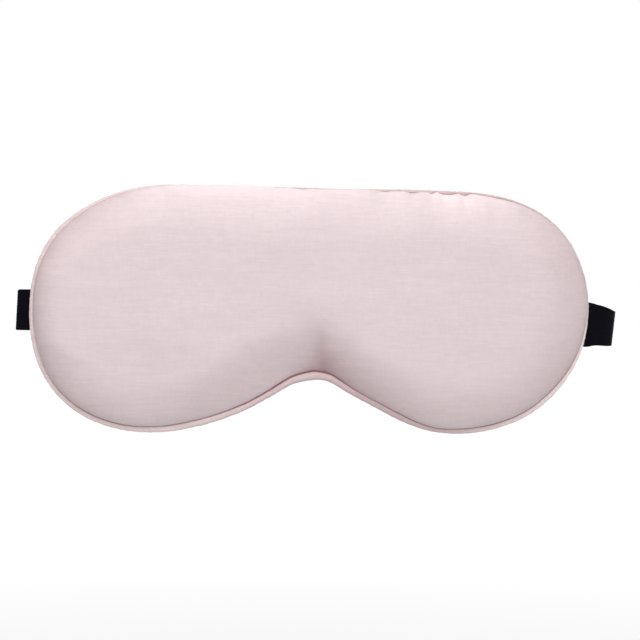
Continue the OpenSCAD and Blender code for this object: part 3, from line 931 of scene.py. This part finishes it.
def ribbon_section(width, thick, ribs, proud):
    """A woven band's section: rounded edges and fine lengthwise ribs. Columns are across and through."""
    steps = ribs * 4
    across = np.linspace(-0.5, 0.5, steps + 1)
    ripple = proud * (0.5 + 0.5 * np.cos(2 * math.pi * ribs * (across + 0.5) + math.pi))
    corner = np.clip((0.5 - np.abs(across)) * width / (0.42 * thick), 0, 1)
    half = thick / 2 * np.sqrt(1 - (1 - corner) ** 2) * 0.999 - ripple * corner
    half = np.maximum(half, 0.05 * thick)
    front = np.stack([across * width, half], 1)
    back = np.stack([across * width, -half], 1)[::-1]
    return np.concatenate([front, back])


def make_ribbon(name, route, section, shape):
    """A band swept along points in plan. shape(run) gives its height, width share, lean and shift."""
    route = np.array(route)
    along = np.gradient(route, axis=0)
    along /= np.linalg.norm(along, axis=1)[:, None]
    side = np.stack([along[:, 1], -along[:, 0]], 1)
    run = np.concatenate([[0], np.cumsum(np.linalg.norm(np.diff(route, axis=0), axis=1))])
    sides = len(section)
    points = np.zeros((len(route), sides, 3))
    for i, (place, across) in enumerate(zip(route, side)):
        lift, share, lean, shift = shape(run[i])
        z = section[:, 0] * share
        flat = place + (section[:, 1] + lean * z + shift)[:, None] * across
        points[i] = np.stack([flat[:, 0], flat[:, 1], z + lift], 1)
    faces = [f[::-1] for f in swept_faces(len(route), sides, closed=False)]
    faces.append(tuple(range(sides)))
    faces.append(tuple(range(len(route) * sides))[: -sides - 1 : -1])
    piece = new_piece(name, points.reshape(-1, 3), faces)
    across_share = np.tile((section[:, 0] - section[:, 0].min()) / np.ptp(section[:, 0]), len(route))
    loop_uvs(piece, "band", np.stack([np.repeat(run, sides) * 100, across_share], 1))
    for face in (piece.data.polygons[-1], piece.data.polygons[-2]):
        face.use_smooth = False
    return piece


def strap_routes(route, s):
    """The three lengths of elastic, as points in plan."""
    loop = s.ring_bar / 2 + s.loop_slack + s.thick / 2
    half = (s.ring_gap + s.ring_bar) / 2
    gap, opening = 0.1 * MM, 10 * MM
    band_step, tab_step, end_step = 1.2 * MM, 0.7 * MM, 0.8 * MM
    band_bar, tab_bar = route.ring - half, route.ring + half
    deep = s.thick + 0.3 * MM
    pin_loop = s.slider_pin / 2 + gap + s.thick / 2

    def round_bar(bar, depth, radius, sign):
        """Half a turn round a bar, for a length that comes along the path, or against it at -1."""
        out = route.spot(bar)[1]
        forward = sign * np.array([out[1], -out[0]])
        return route.half_turn(route.inside(bar, depth), out, radius, forward)

    def to_ring(start, bar, step, sign):
        """A length from its sewn end to the ring and round its bar, opening a little before it."""
        nearly = bar - sign * opening
        points = route.layer(start, nearly, step, 0, 0, 1)
        points += route.layer(nearly, bar, step, 0, -s.loop_give, opening)[1:]
        return points + round_bar(bar, loop, loop + s.loop_give, sign)

    band = to_ring(-s.sewn_in, band_bar, band_step, 1)
    inner = 2 * loop + s.loop_give
    back = route.layer(band_bar - 0.02 * MM, route.slider, band_step, inner, deep, s.settle)
    back += round_bar(route.slider, deep + pin_loop, pin_loop, -1)
    start, end = route.slider + s.tail / 14, route.slider + s.tail
    under = deep + s.thick + gap
    back += route.layer(start, end, end_step, deep + 2 * pin_loop, under, s.tail / 2)
    end = route.end + s.sewn_in
    tab = to_ring(end, tab_bar, tab_step, -1)
    tab += route.layer(tab_bar + 0.8 * MM, end, tab_step, inner, s.thick + gap, s.settle)
    return band, back, tab


# ------------------------------------------------
# Node trees
# ------------------------------------------------


class Value:
    """A node's output that takes part in sums: each operator adds a Math node."""

    def __init__(self, graph, socket):
        self.graph = graph
        self.socket = socket

    def beside(self, name):
        """Another output of the same node."""
        return Value(self.graph, self.socket.node.outputs[name])

    def math(self, operation, *others, flip=False):
        """This value and others through a Math node."""
        terms = (*others, self) if flip else (self, *others)
        return self.graph.node("ShaderNodeMath", {"operation": operation}, dict(enumerate(terms)))

    def __add__(self, other):
        return self.math("ADD", other)

    __radd__ = __add__

    def __mul__(self, other):
        return self.math("MULTIPLY", other)

    __rmul__ = __mul__

    def __sub__(self, other):
        return self.math("SUBTRACT", other)

    def __rsub__(self, other):
        return self.math("SUBTRACT", other, flip=True)

    def __truediv__(self, other):
        return self.math("DIVIDE", other)

    def wave(self):
        """A sine that runs from 0 to 1."""
        return self.math("SINE") * 0.5 + 0.5

    def held(self, low, high):
        """The value limited to a range."""
        return self.math("MAXIMUM", low).math("MINIMUM", high)


class Graph:
    """The nodes and links of one tree."""

    def __init__(self, tree):
        self.nodes = tree.nodes
        self.links = tree.links

    def node(self, kind, settings=None, inputs=None, output=0):
        """A node with its settings made first and its sockets fed next, as the value of one output."""
        made = self.nodes.new(kind)
        for name, value in (settings or {}).items():
            setattr(made, name, value)
        for name, value in (inputs or {}).items():
            self.feed(made.inputs[name], value)
        return Value(self, made.outputs[output]) if made.outputs else None

    def feed(self, socket, value):
        """Links a value to a socket, or sets the socket's own number or colour."""
        if isinstance(value, Value):
            self.links.new(value.socket, socket)
        elif socket.type == "RGBA" and len(value) == 3:
            socket.default_value = (*value, 1)
        else:
            socket.default_value = value


# ------------------------------------------------
# Stitches, by Geometry Nodes
# ------------------------------------------------


STITCH_INPUTS = {
    "Stitch spacing": "NodeSocketFloat",
    "Stitch length": "NodeSocketFloat",
    "Thread radius": "NodeSocketFloat",
    "Thread": "NodeSocketMaterial",
}


def stitch_nodes(name, zigzag):
    """A node tree that lays thread stitches along a path, and the identifiers of its inputs.

    Spaced points on the path carry a tapered rod each, turned with the path and then zigzagged.
    """
    tree = bpy.data.node_groups.new(name, "GeometryNodeTree")
    face = tree.interface
    face.new_socket("Geometry", in_out="INPUT", socket_type="NodeSocketGeometry")
    face.new_socket("Geometry", in_out="OUTPUT", socket_type="NodeSocketGeometry")
    named = {
        label: face.new_socket(label, in_out="INPUT", socket_type=kind).identifier
        for label, kind in STITCH_INPUTS.items()
    }
    g = Graph(tree)
    path = g.node("NodeGroupInput")
    gap, long, thick, thread = [path.beside(label) for label in STITCH_INPUTS]
    spots = g.node("GeometryNodeCurveToPoints", {"mode": "LENGTH"}, {"Curve": path, "Length": gap})
    half = long * 0.5
    ends = [g.node("ShaderNodeCombineXYZ", None, {"Z": value}) for value in (half * -1, half)]
    line = g.node("GeometryNodeCurvePrimitiveLine", None, {"Start": ends[0], "End": ends[1]})
    line = g.node("GeometryNodeResampleCurve", None, {"Curve": line, "Count": 5})
    from_middle = (g.node("GeometryNodeSplineParameter", output="Factor") - 0.5).math("ABSOLUTE")
    taper = g.node(
        "ShaderNodeMapRange",
        {"interpolation_type": "SMOOTHSTEP"},
        {"Value": from_middle, "From Min": 0.2, "From Max": 0.5, "To Min": 1, "To Max": 0.35},
    )
    circle = g.node("GeometryNodeCurvePrimitiveCircle", None, {"Resolution": 6, "Radius": thick})
    rod = {"Curve": line, "Profile Curve": circle, "Scale": taper, "Fill Caps": True}
    rod = g.node("GeometryNodeCurveToMesh", None, rod)
    rod = g.node("GeometryNodeSetShadeSmooth", None, {"Geometry": rod})
    laid = {"Points": spots, "Instance": rod, "Rotation": spots.beside("Rotation")}
    laid = g.node("GeometryNodeInstanceOnPoints", None, laid)
    odd = g.node("GeometryNodeInputIndex").math("PINGPONG", 1)
    lean = g.node("ShaderNodeMapRange", None, {"Value": odd, "To Min": zigzag, "To Max": 0 - zigzag})
    lean = g.node("ShaderNodeCombineXYZ", None, {"X": lean})
    laid = g.node("GeometryNodeRotateInstances", None, {"Instances": laid, "Rotation": lean})
    laid = g.node("GeometryNodeRealizeInstances", None, {0: laid})
    laid = g.node("GeometryNodeSetMaterial", None, {"Geometry": laid, "Material": thread})
    g.node("NodeGroupOutput", None, {0: laid})
    return tree, named


def stitched(name, path, closed, material, spacing, long, radius=0.13 * MM, zigzag=0.0):
    """Stitches along a path of points, as one plain mesh."""
    curve = bpy.data.curves.new(name + "_path", "CURVE")
    curve.dimensions = "3D"
    spline = curve.splines.new("POLY")
    spline.points.add(len(path) - 1)
    spline.points.foreach_set("co", np.concatenate([path, np.ones((len(path), 1))], 1).ravel())
    spline.use_cyclic_u = closed
    guide = placed(name + "_path", curve)
    work = guide.modifiers.new("Stitches", "NODES")
    work.node_group, named = stitch_nodes(name + "_nodes", zigzag)
    for label, value in zip(STITCH_INPUTS, (spacing, long, radius, material)):
        work[named[label]] = value
    bpy.context.view_layer.update()
    return baked(name, guide)


# ------------------------------------------------
# Moulded fittings
# ------------------------------------------------


def moulded(node, name, grain=0.16 * MM):
    """A copy of a packed fitting with its moulded edges rounded off, on a mesh of an even grain."""
    mesh = frame["nodes"][node].data.copy()
    work = bmesh.new()
    work.from_mesh(mesh)
    bmesh.ops.remove_doubles(work, verts=work.verts, dist=0.002 * MM)
    bmesh.ops.recalc_face_normals(work, faces=work.faces)
    work.to_mesh(mesh)
    work.free()
    rough = placed(name + "_rough", mesh)
    even = rough.modifiers.new("Even mesh", "REMESH")
    even.mode = "VOXEL"
    even.voxel_size = grain
    soft = rough.modifiers.new("Rounded edges", "SMOOTH")
    soft.factor = 0.5
    soft.iterations = 5
    piece = baked(name, rough)
    piece.data.polygons.foreach_set("use_smooth", [True] * len(piece.data.polygons))
    return piece


# ------------------------------------------------
# Materials
# ------------------------------------------------


class Finish(Graph):
    """One material and the nodes that make it."""

    def __init__(self, name, roughness, **fixed):
        self.material = bpy.data.materials.new(name)
        self.material.use_nodes = True
        super().__init__(self.material.node_tree)
        self.shader = self.nodes["Principled BSDF"]
        self.set("Roughness", roughness)
        for socket, value in fixed.items():
            self.set(socket.replace("_", " "), value)

    def set(self, name, value):
        """Feeds one of the shader's own sockets."""
        self.feed(self.shader.inputs[name], value)

    def uv_parts(self, name):
        """A UV map's two values."""
        both = self.node("ShaderNodeUVMap", {"uv_map": name})
        parts = self.node("ShaderNodeSeparateXYZ", None, {0: both})
        return parts, parts.beside("Y")

    def noise(self, stretch, scale, detail=2.0, rough=0.5, twist=0.0):
        """Noise from 0 to 1 over the object, with its place scaled along each axis first."""
        place = self.node("ShaderNodeTexCoord", output="Object")
        place = self.node("ShaderNodeMapping", {"vector_type": "POINT"}, {"Vector": place, "Scale": stretch})
        inputs = {"Vector": place, "Scale": scale, "Detail": detail, "Roughness": rough, "Distortion": twist}
        return self.node("ShaderNodeTexNoise", None, inputs)

    def held_value(self, name):
        """A point attribute's value."""
        return self.node("ShaderNodeAttribute", {"attribute_name": name}, output="Fac")

    def mixed(self, share, first, second):
        """A colour between two."""
        settings = {"data_type": "RGBA", "clamp_factor": True}
        return self.node("ShaderNodeMix", settings, {"Factor": share, 6: first, 7: second}, output=2)

    def shaded(self, tint, amount):
        """A colour made lighter or darker by a value."""
        return self.node("ShaderNodeVectorMath", {"operation": "SCALE"}, {0: tint, "Scale": amount})

    def bump(self, height, distance, strength):
        """Fine relief whose height value spans 0 to 1 over a distance in metres."""
        inputs = {"Height": height, "Distance": distance, "Strength": strength}
        return self.node("ShaderNodeBump", None, inputs)


EVEN = (1, 1, 1)


def toned(tint, by):
    """A colour times another."""
    return tuple(a * b for a, b in zip(tint, by))


def weave_of(f):
    """Lightness and relief of satin's crosswise threads, with slubs and soft clouds."""
    threads = f.noise((60, 60, 5200), 1.0, detail=3, rough=0.6)
    slubs = f.noise((130, 130, 1500), 1.0, detail=2, rough=0.6)
    streaks = f.noise((38, 38, 520), 1.0, detail=3, twist=0.35)
    warp = f.noise((1300, 300, 190), 1.0, detail=3, rough=0.6, twist=0.4)
    mottle = f.noise(EVEN, 430.0, detail=3, rough=0.6)
    clouds = f.noise(EVEN, 28.0, detail=3, rough=0.55)
    light = 1 + (threads - 0.5) * 0.05 + (slubs - 0.5) * 0.15 + (streaks - 0.5) * 0.08
    light = light + (warp - 0.5) * 0.06 + (mottle - 0.5) * 0.10 + (clouds - 0.5) * 0.05
    return light, threads, slubs, clouds


def satin_base(name, roughness):
    """Polyester satin's shader with its roughness and relief."""
    f = Finish(name, roughness, IOR=1.45, Specular_IOR_Level=0.34, Sheen_Weight=0.12, Sheen_Roughness=0.4)
    light, threads, slubs, clouds = weave_of(f)
    f.set("Roughness", (roughness + (clouds - 0.5) * 0.10 + (threads - 0.5) * 0.08).held(0.2, 0.9))
    f.set("Normal", f.bump(threads * 0.5 + slubs * 0.5, 0.00003, 0.35))
    return f, light


def satin_finish(name, tint, shadow, roughness):
    """The panels' satin, with painted shade and painted highlight beside the seam and a painted shadow line
    in it.
    """
    f, light = satin_base(name, roughness)
    hem = f.held_value("painted_hem_light")
    # Painted highlight: the cloth is made lighter where the strength is negative
    light = light * (1 + (hem * -0.24).held(0, 1))
    # Painted shade: a darker, redder copy of the satin's colour beside the seam
    shaded = f.mixed(hem.held(0, 1), tint, toned(tint, (0.61, 0.485, 0.50)))
    # Painted shadow where the cloth turns into the seam, in the seam's shadow colour
    cloth = f.mixed(f.held_value("painted_seam_shadow").held(0, 1), shaded, shadow)
    f.set("Base Color", f.shaded(cloth, light))
    return f.material


def piping_finish(name, tint, shadow, roughness):
    """The piping's satin, with painted shade and highlight by place, and a thin painted shadow line where
    the panel's cloth turns in beside it.
    """
    f, light = satin_base(name, roughness)
    inset = f.uv_parts("strip")[1]
    # Painted shadow: a thin dark line where the panel's cloth turns in beside the piping
    near = ((inset - f.held_value("seen_width")) / 0.5 + 1).held(0, 1)
    line = near * near * f.held_value("painted_seam_line")
    # Painted light: below 1 the colour goes towards a painted shade copy, above 1 it is painted lighter
    painted_piping_light = f.held_value("painted_piping_light")
    painted_shade_tint = toned(tint, (0.72, 0.615, 0.655))
    face = f.mixed((1 - painted_piping_light) * 2.8, f.shaded(tint, painted_piping_light.math("MAXIMUM", 1.0)), painted_shade_tint)
    cloth = f.mixed(line, face, shadow)
    f.set("Base Color", f.shaded(cloth, light))
    return f.material


def elastic_finish(tint):
    """Knitted elastic: lengthwise ribs, crosswise rows of loops and a dull, slightly fuzzy face."""
    f = Finish("elastic_knit", 0.8, Specular_IOR_Level=0.02)
    along, across = f.uv_parts("band")
    turn = across * (2 * math.pi * 17)
    ribs = turn.wave()
    rows = (along * (2 * math.pi * 14) + turn.math("SINE") * 1.6).wave()
    fuzz = f.noise(EVEN, 2600.0, detail=2)
    wear = f.noise(EVEN, 45.0, detail=3)
    light = 0.72 + ribs * 0.30 + rows * 0.22 + (fuzz - 0.5) * 0.5 + (wear - 0.5) * 0.35
    f.set("Base Color", f.shaded(tint, light))
    f.set("Roughness", (0.70 + (wear - 0.5) * 0.2 - ribs * 0.06).held(0.3, 0.95))
    f.set("Normal", f.bump(rows * 0.6 + fuzz * 0.4, 0.00008, 0.5))
    return f.material


def plastic_finish(tint):
    """Moulded black plastic with a faint grain and handling marks."""
    f = Finish("moulded_plastic", 0.38, Specular_IOR_Level=0.5)
    grain = f.noise(EVEN, 1900.0, detail=3)
    marks = f.noise((1, 1, 6), 160.0, detail=4, rough=0.65)
    f.set("Base Color", f.shaded(tint, 0.9 + marks * 0.25))
    f.set("Roughness", (0.32 + marks * 0.14 + (grain - 0.5) * 0.06).held(0.2, 0.7))
    f.set("Normal", f.bump(grain, 0.00002, 0.35))
    return f.material


def thread_finish(name, tint):
    """Twisted sewing thread."""
    f = Finish(name, 0.6, Sheen_Weight=0.15)
    twist = f.noise(EVEN, 5200.0, detail=1)
    f.set("Base Color", f.shaded(tint, 0.8 + twist * 0.4))
    f.set("Normal", f.bump(twist, 0.00003, 0.5))
    return f.material


def loose_finish(name, tint, scale, depth):
    """Filling, lining and cord inside the pad: matt fibres at a given scale."""
    f = Finish(name, 0.9, Specular_IOR_Level=0.2, Sheen_Weight=0.2)
    fibre = f.noise(EVEN, scale, detail=4, rough=0.7, twist=1.2)
    f.set("Base Color", f.shaded(tint, 0.86 + fibre * 0.24))
    f.set("Normal", f.bump(fibre, depth, 0.6))
    return f.material


FINISHES = {
    "satin": lambda c: satin_finish("satin_weave", c.satin, c.seam, 0.42),
    "piping": lambda c: piping_finish("piping_weave", c.piping, c.seam, 0.40),
    "elastic": lambda c: elastic_finish(c.elastic),
    "plastic": lambda c: plastic_finish(c.plastic),
    "seam_thread": lambda c: thread_finish("seam_thread", c.thread),
    "dark_thread": lambda c: thread_finish("dark_thread", c.dark_thread),
    "wadding": lambda c: loose_finish("wadding_fibres", c.wadding, 420.0, 0.0004),
    "lining": lambda c: loose_finish("lining_cloth", c.lining, 1500.0, 0.0001),
    "cord": lambda c: loose_finish("cotton_twist", c.cord, 1800.0, 0.0002),
}
MATERIALS = {}


def material(kind):
    """The finish of that kind, made once from the scene's colours."""
    if kind not in MATERIALS:
        MATERIALS[kind] = FINISHES[kind](bpy.context.scene.eye_mask_colours)
    return MATERIALS[kind]


# ------------------------------------------------
# Operators
# ------------------------------------------------


def mask_edge():
    """The mask's outer edge at the scene's sizes."""
    return Edge(bpy.context.scene.eye_mask_outline)


def strap_route():
    """The elastic's path at the scene's sizes."""
    scene = bpy.context.scene
    return Route(scene.eye_mask_outline, scene.eye_mask_strap)


class MakeStage(bpy.types.Operator):
    """Sets the camera, the floor and the studio lights"""

    bl_idname = "eye_mask.stage"
    bl_label = "Stage"

    def execute(self, context):
        scene, s = context.scene, context.scene.eye_mask_stage
        scene.view_settings.view_transform = "Standard"
        camera = bpy.data.cameras.new("camera")
        camera.sensor_width = 36
        camera.lens = camera.sensor_width * s.distance / s.field
        camera.clip_start = 0.01
        eye = placed("camera", camera)
        yaw, pitch = math.radians(s.yaw), math.radians(s.pitch)
        across, up = math.cos(pitch), math.sin(pitch)
        target = Vector((s.aim_x, s.aim_y, s.aim_z))
        back = Vector((-math.sin(yaw) * across, -math.cos(yaw) * across, up))
        eye.location = target + s.distance * back
        level = (target - eye.location).to_track_quat("-Z", "Y")
        eye.rotation_mode = "QUATERNION"
        eye.rotation_quaternion = level @ Quaternion((0, 0, 1), math.radians(s.roll))
        scene.camera = eye
        self.floor(s.floor)
        self.lamps()
        scene.world = self.surroundings()
        return {"FINISHED"}

    def floor(self, height, half=40.0):
        """A pale floor that the camera sees as nearly white and that keeps the mask's shadow."""
        corners = [(x * half, y * half, height) for x, y in ((-1, -1), (1, -1), (1, 1), (-1, 1))]
        floor = new_piece("floor", corners, [(0, 1, 2, 3)], smooth=False)
        f = Finish("pale_floor", 0.8, Specular_IOR_Level=0.1)
        f.set("Base Color", (0.62, 0.62, 0.62))
        place = f.node("ShaderNodeTexCoord", output="Object")
        away = f.node("ShaderNodeVectorMath", {"operation": "LENGTH"}, {0: place}, "Value")
        far = ((away - 0.35) / 0.5).held(0, 1)
        seen = f.node("ShaderNodeLightPath", output="Is Camera Ray")
        share = (seen + seen.beside("Is Glossy Ray")).held(0, 1) * (0.72 + far * 0.28)
        glow = f.node("ShaderNodeEmission", None, {"Color": (1, 1, 1), "Strength": 1.04})
        matt = Value(f, f.shader.outputs[0])
        both = f.node("ShaderNodeMixShader", None, {0: share, 1: matt, 2: glow})
        f.feed(f.nodes["Material Output"].inputs["Surface"], both)
        floor.data.materials.append(f.material)

    def lamps(self):
        """A wide soft box above the front, a little to the left, and an even fill before and behind."""
        for name, place, size, power in (
            ("soft_box", (-0.06, -0.50, 0.95), 1.1, 10.8),
            ("front_fill", (0.0, -1.5, 0.0), 3.5, 35.0),
            ("rear_fill", (0.2, 1.5, 0.35), 2.5, 20.0),
        ):
            lamp = bpy.data.lights.new(name, "AREA")
            lamp.shape = "SQUARE"
            lamp.size = size
            lamp.energy = power
            box = placed(name, lamp)
            box.location = place
            box.rotation_euler = (-Vector(place)).to_track_quat("-Z", "Y").to_euler()

    def surroundings(self):
        """An even pale world that the camera sees as white, also through what lets light pass."""
        world = bpy.data.worlds.new("studio")
        world.use_nodes = True
        g = Graph(world.node_tree)
        dim = g.nodes["Background"]
        g.feed(dim.inputs["Color"], (1, 1, 1))
        g.feed(dim.inputs["Strength"], 0.22)
        white = g.node("ShaderNodeBackground", None, {"Color": (1, 1, 1), "Strength": 1.0})
        seen = g.node("ShaderNodeLightPath", output="Is Camera Ray")
        share = seen.math("MAXIMUM", seen.beside("Is Transmission Ray"))
        both = g.node("ShaderNodeMixShader", None, {0: share, 1: Value(g, dim.outputs[0]), 2: white})
        g.feed(g.nodes["World Output"].inputs["Surface"], both)
        return world


class MakePanels(bpy.types.Operator):
    """Makes the front and back satin panels with their gathers, and the filling behind each"""

    bl_idname = "eye_mask.panels"
    bl_label = "Satin panels and filling"

    def execute(self, context):
        o, pad = context.scene.eye_mask_outline, context.scene.eye_mask_pad
        edge = mask_edge()
        half = edge.length / 2
        front_zones = [
            (-110 * MM, -66 * MM, 8 * MM, 0.35 * MM, 5 * MM),
            (84 * MM, 115 * MM, 8 * MM, 0.30 * MM, 5 * MM),
            (115 * MM, half, 6 * MM, 0.20 * MM, 4 * MM),
            (-half, -110 * MM, 6 * MM, 0.20 * MM, 4 * MM),
        ]
        back_zones = [(-half, half, 7 * MM, 0.35 * MM, 5 * MM)]
        for word, side, gathers, creases, seed, fill in (
            ("front", -1, Gathers(edge, 5, front_zones, TOP_GATHERS), nose_creases(o), 5, 0.6),
            ("back", 1, Gathers(edge, 8, back_zones), [], 8, 0.5),
        ):
            panel = make_panel(word + "_panel_satin", edge, pad, side, gathers, creases, seed)
            filling = make_filling(word + "_filling", panel, edge, pad, side)
            add_wall(panel, pad.cloth, -1)
            finish_with(panel, material("satin"), "mask", [word + "_panel"])
            finish_with(filling, material("wadding"), "mask", [word + "_wadding"])
        lining = make_lining("lining_sheet", edge, pad)
        finish_with(lining, material("lining"), "mask", ["blackout_lining"])
        return {"FINISHED"}


class MakePiping(bpy.types.Operator):
    """Makes the corded piping and the seam's stitches"""

    bl_idname = "eye_mask.piping"
    bl_label = "Piping"

    def execute(self, context):
        edge = mask_edge()
        p = context.scene.eye_mask_piping
        cover, cord = make_piping("piping_bias", edge, p), make_cord("piping_core", edge, p)
        finish_with(cover, material("piping"), "mask", ["piping_cover"])
        finish_with(cord, material("cord"), "mask", ["piping_cord"])
        thread = material("seam_thread")
        past_bead, off_plane, spacing, long = 0.55 * MM, 0.37 * MM, 2.6 * MM, 2.1 * MM
        flat = edge.inset(p.bead + past_bead)
        for name, side in (("seam_stitches_front", -1), ("seam_stitches_back", 1)):
            y = edge.bowed(flat[:, 0]) + side * off_plane
            path = np.stack([flat[:, 0], y, flat[:, 1]], 1)
            finish_with(stitched(name, path, True, thread, spacing, long), thread, "mask")
        return {"FINISHED"}


class MakeElastic(bpy.types.Operator):
    """Makes the strap's three lengths of elastic"""

    bl_idname = "eye_mask.elastic"
    bl_label = "Elastic"

    def execute(self, context):
        s = context.scene.eye_mask_strap
        route = strap_route()
        band, back, tab = strap_routes(route, s)
        section = ribbon_section(s.width, s.thick, 15, 0.05 * MM)

        def band_shape(run):
            """The band: sewn a little high, and slightly narrowed and curled at its sewn end."""
            out = run - s.sewn_in
            lift = s.left_lift * (1 - smoothstep(34 * MM, 90 * MM, out))
            share = 0.955 + 0.045 * smoothstep(34 * MM, 60 * MM, out)
            bulge = math.sin(math.pi * min(1, max(0, out) / (20 * MM)))
            return lift, share, 0.05 * bulge, -0.12 * MM * bulge

        def flat_shape(_):
            """The return: level, of full width and flat."""
            return 0, 1, 0, 0

        whole = s.sewn_in + s.ring_at

        def tab_shape(run):
            """The doubled tab: it sags where it folds back, and its under layer shows below the other."""
            under = run > whole
            out = (2 * whole - run if under else run) - s.sewn_in
            sag = smoothstep(2 * MM, 19 * MM, out)
            back = smoothstep(24 * MM, 46 * MM, out)
            lift = (s.right_lift + (s.right_sag - s.right_lift) * sag) * (1 - back)
            share = 1 - 0.125 * sag * (1 - back)
            if under:
                lift -= 0.8 * MM * math.exp(-(((out - 4.5 * MM) / (3 * MM)) ** 2))
            bulge = math.sin(math.pi * min(1, max(0, out) / (42 * MM)))
            return lift, share, 0.10 * bulge, 0.45 * MM * bulge

        # Where each length starts to leave its first body and where it has wholly joined its second
        seam = ((0, SWING_AXIS.y + 0.3 * MM, 0), (0, SWING_AXIS.y + 17 * MM, 0))
        before_ring = route.ring - (s.ring_gap + s.ring_bar) / 2 - 2.2 * MM
        free = [(*route.inside(at, 0), 0) for at in (before_ring, route.tack)]
        for name, points, shape, node, bodies, (start, end) in (
            ("strap_elastic", band, band_shape, "strap_band", ("mask", "strap"), seam),
            ("tab_elastic", tab, tab_shape, "ring_tab", ("mask", "strap"), seam),
            ("return_elastic", back, flat_shape, "strap_return", ("strap", "slider"), free),
        ):
            piece = make_ribbon(name, points, section, shape)
            finish_with(piece, material("elastic"), None, [node])
            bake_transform(piece)
        return {"FINISHED"}


class MakeFittings(bpy.types.Operator):
    """Makes the ring, the slider and the bar tack that holds the band's end"""

    bl_idname = "eye_mask.fittings"
    bl_label = "Ring and slider"

    def execute(self, context):
        s = context.scene.eye_mask_strap
        for body in ("ring", "slider"):
            piece = moulded("strap_" + body, body + "_moulding")
            finish_with(piece, material("plastic"), body, ["strap_" + body])
        low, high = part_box("end_bartack")
        middle = (low + high) / 2
        route = strap_route()
        out = route.spot(route.tack)[1]
        deep = s.thick + 0.06 * MM
        thread = material("dark_thread")
        spacing, long, lean = 0.55 * MM, 1.9 * MM, 1.25
        z = np.linspace(low.z, high.z, 40)
        for name, side, replaced in (("bartack_inside", -1, ["end_bartack"]), ("bartack_outside", 1, [])):
            x, y = np.array([middle.x, middle.y]) + side * deep * out
            path = np.stack([np.full_like(z, x), np.full_like(z, y), z], 1)
            piece = stitched(name, path, False, thread, spacing, long, zigzag=lean)
            finish_with(piece, thread, "slider", replaced)
        return {"FINISHED"}


class EyeMaskPanel(bpy.types.Panel):
    """The steps that build the mask"""

    bl_idname = "VIEW3D_PT_eye_mask"
    bl_label = "Eye Mask"
    bl_space_type = "VIEW_3D"
    bl_region_type = "UI"
    bl_category = "Eye Mask"

    def draw(self, context):
        for step in STEPS:
            self.layout.operator(step.bl_idname)
        for name in GROUPS:
            box = self.layout.box()
            group = getattr(context.scene, name)
            for key in group.bl_rna.properties.keys():
                if key not in ("rna_type", "name"):
                    box.prop(group, key)


STEPS = (MakeStage, MakePanels, MakePiping, MakeElastic, MakeFittings)
CLASSES = (*GROUPS.values(), *STEPS, EyeMaskPanel)


def register():
    for kind in CLASSES:
        bpy.utils.register_class(kind)
    for name, kind in GROUPS.items():
        setattr(bpy.types.Scene, name, bpy.props.PointerProperty(type=kind))


def unregister():
    for name in GROUPS:
        delattr(bpy.types.Scene, name)
    for kind in reversed(CLASSES):
        bpy.utils.unregister_class(kind)


def main():
    """Registers the add-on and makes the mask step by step."""
    register()
    for step in STEPS:
        group, name = step.bl_idname.split(".")
        getattr(getattr(bpy.ops, group), name)()


if __name__ == "__main__":
    main()
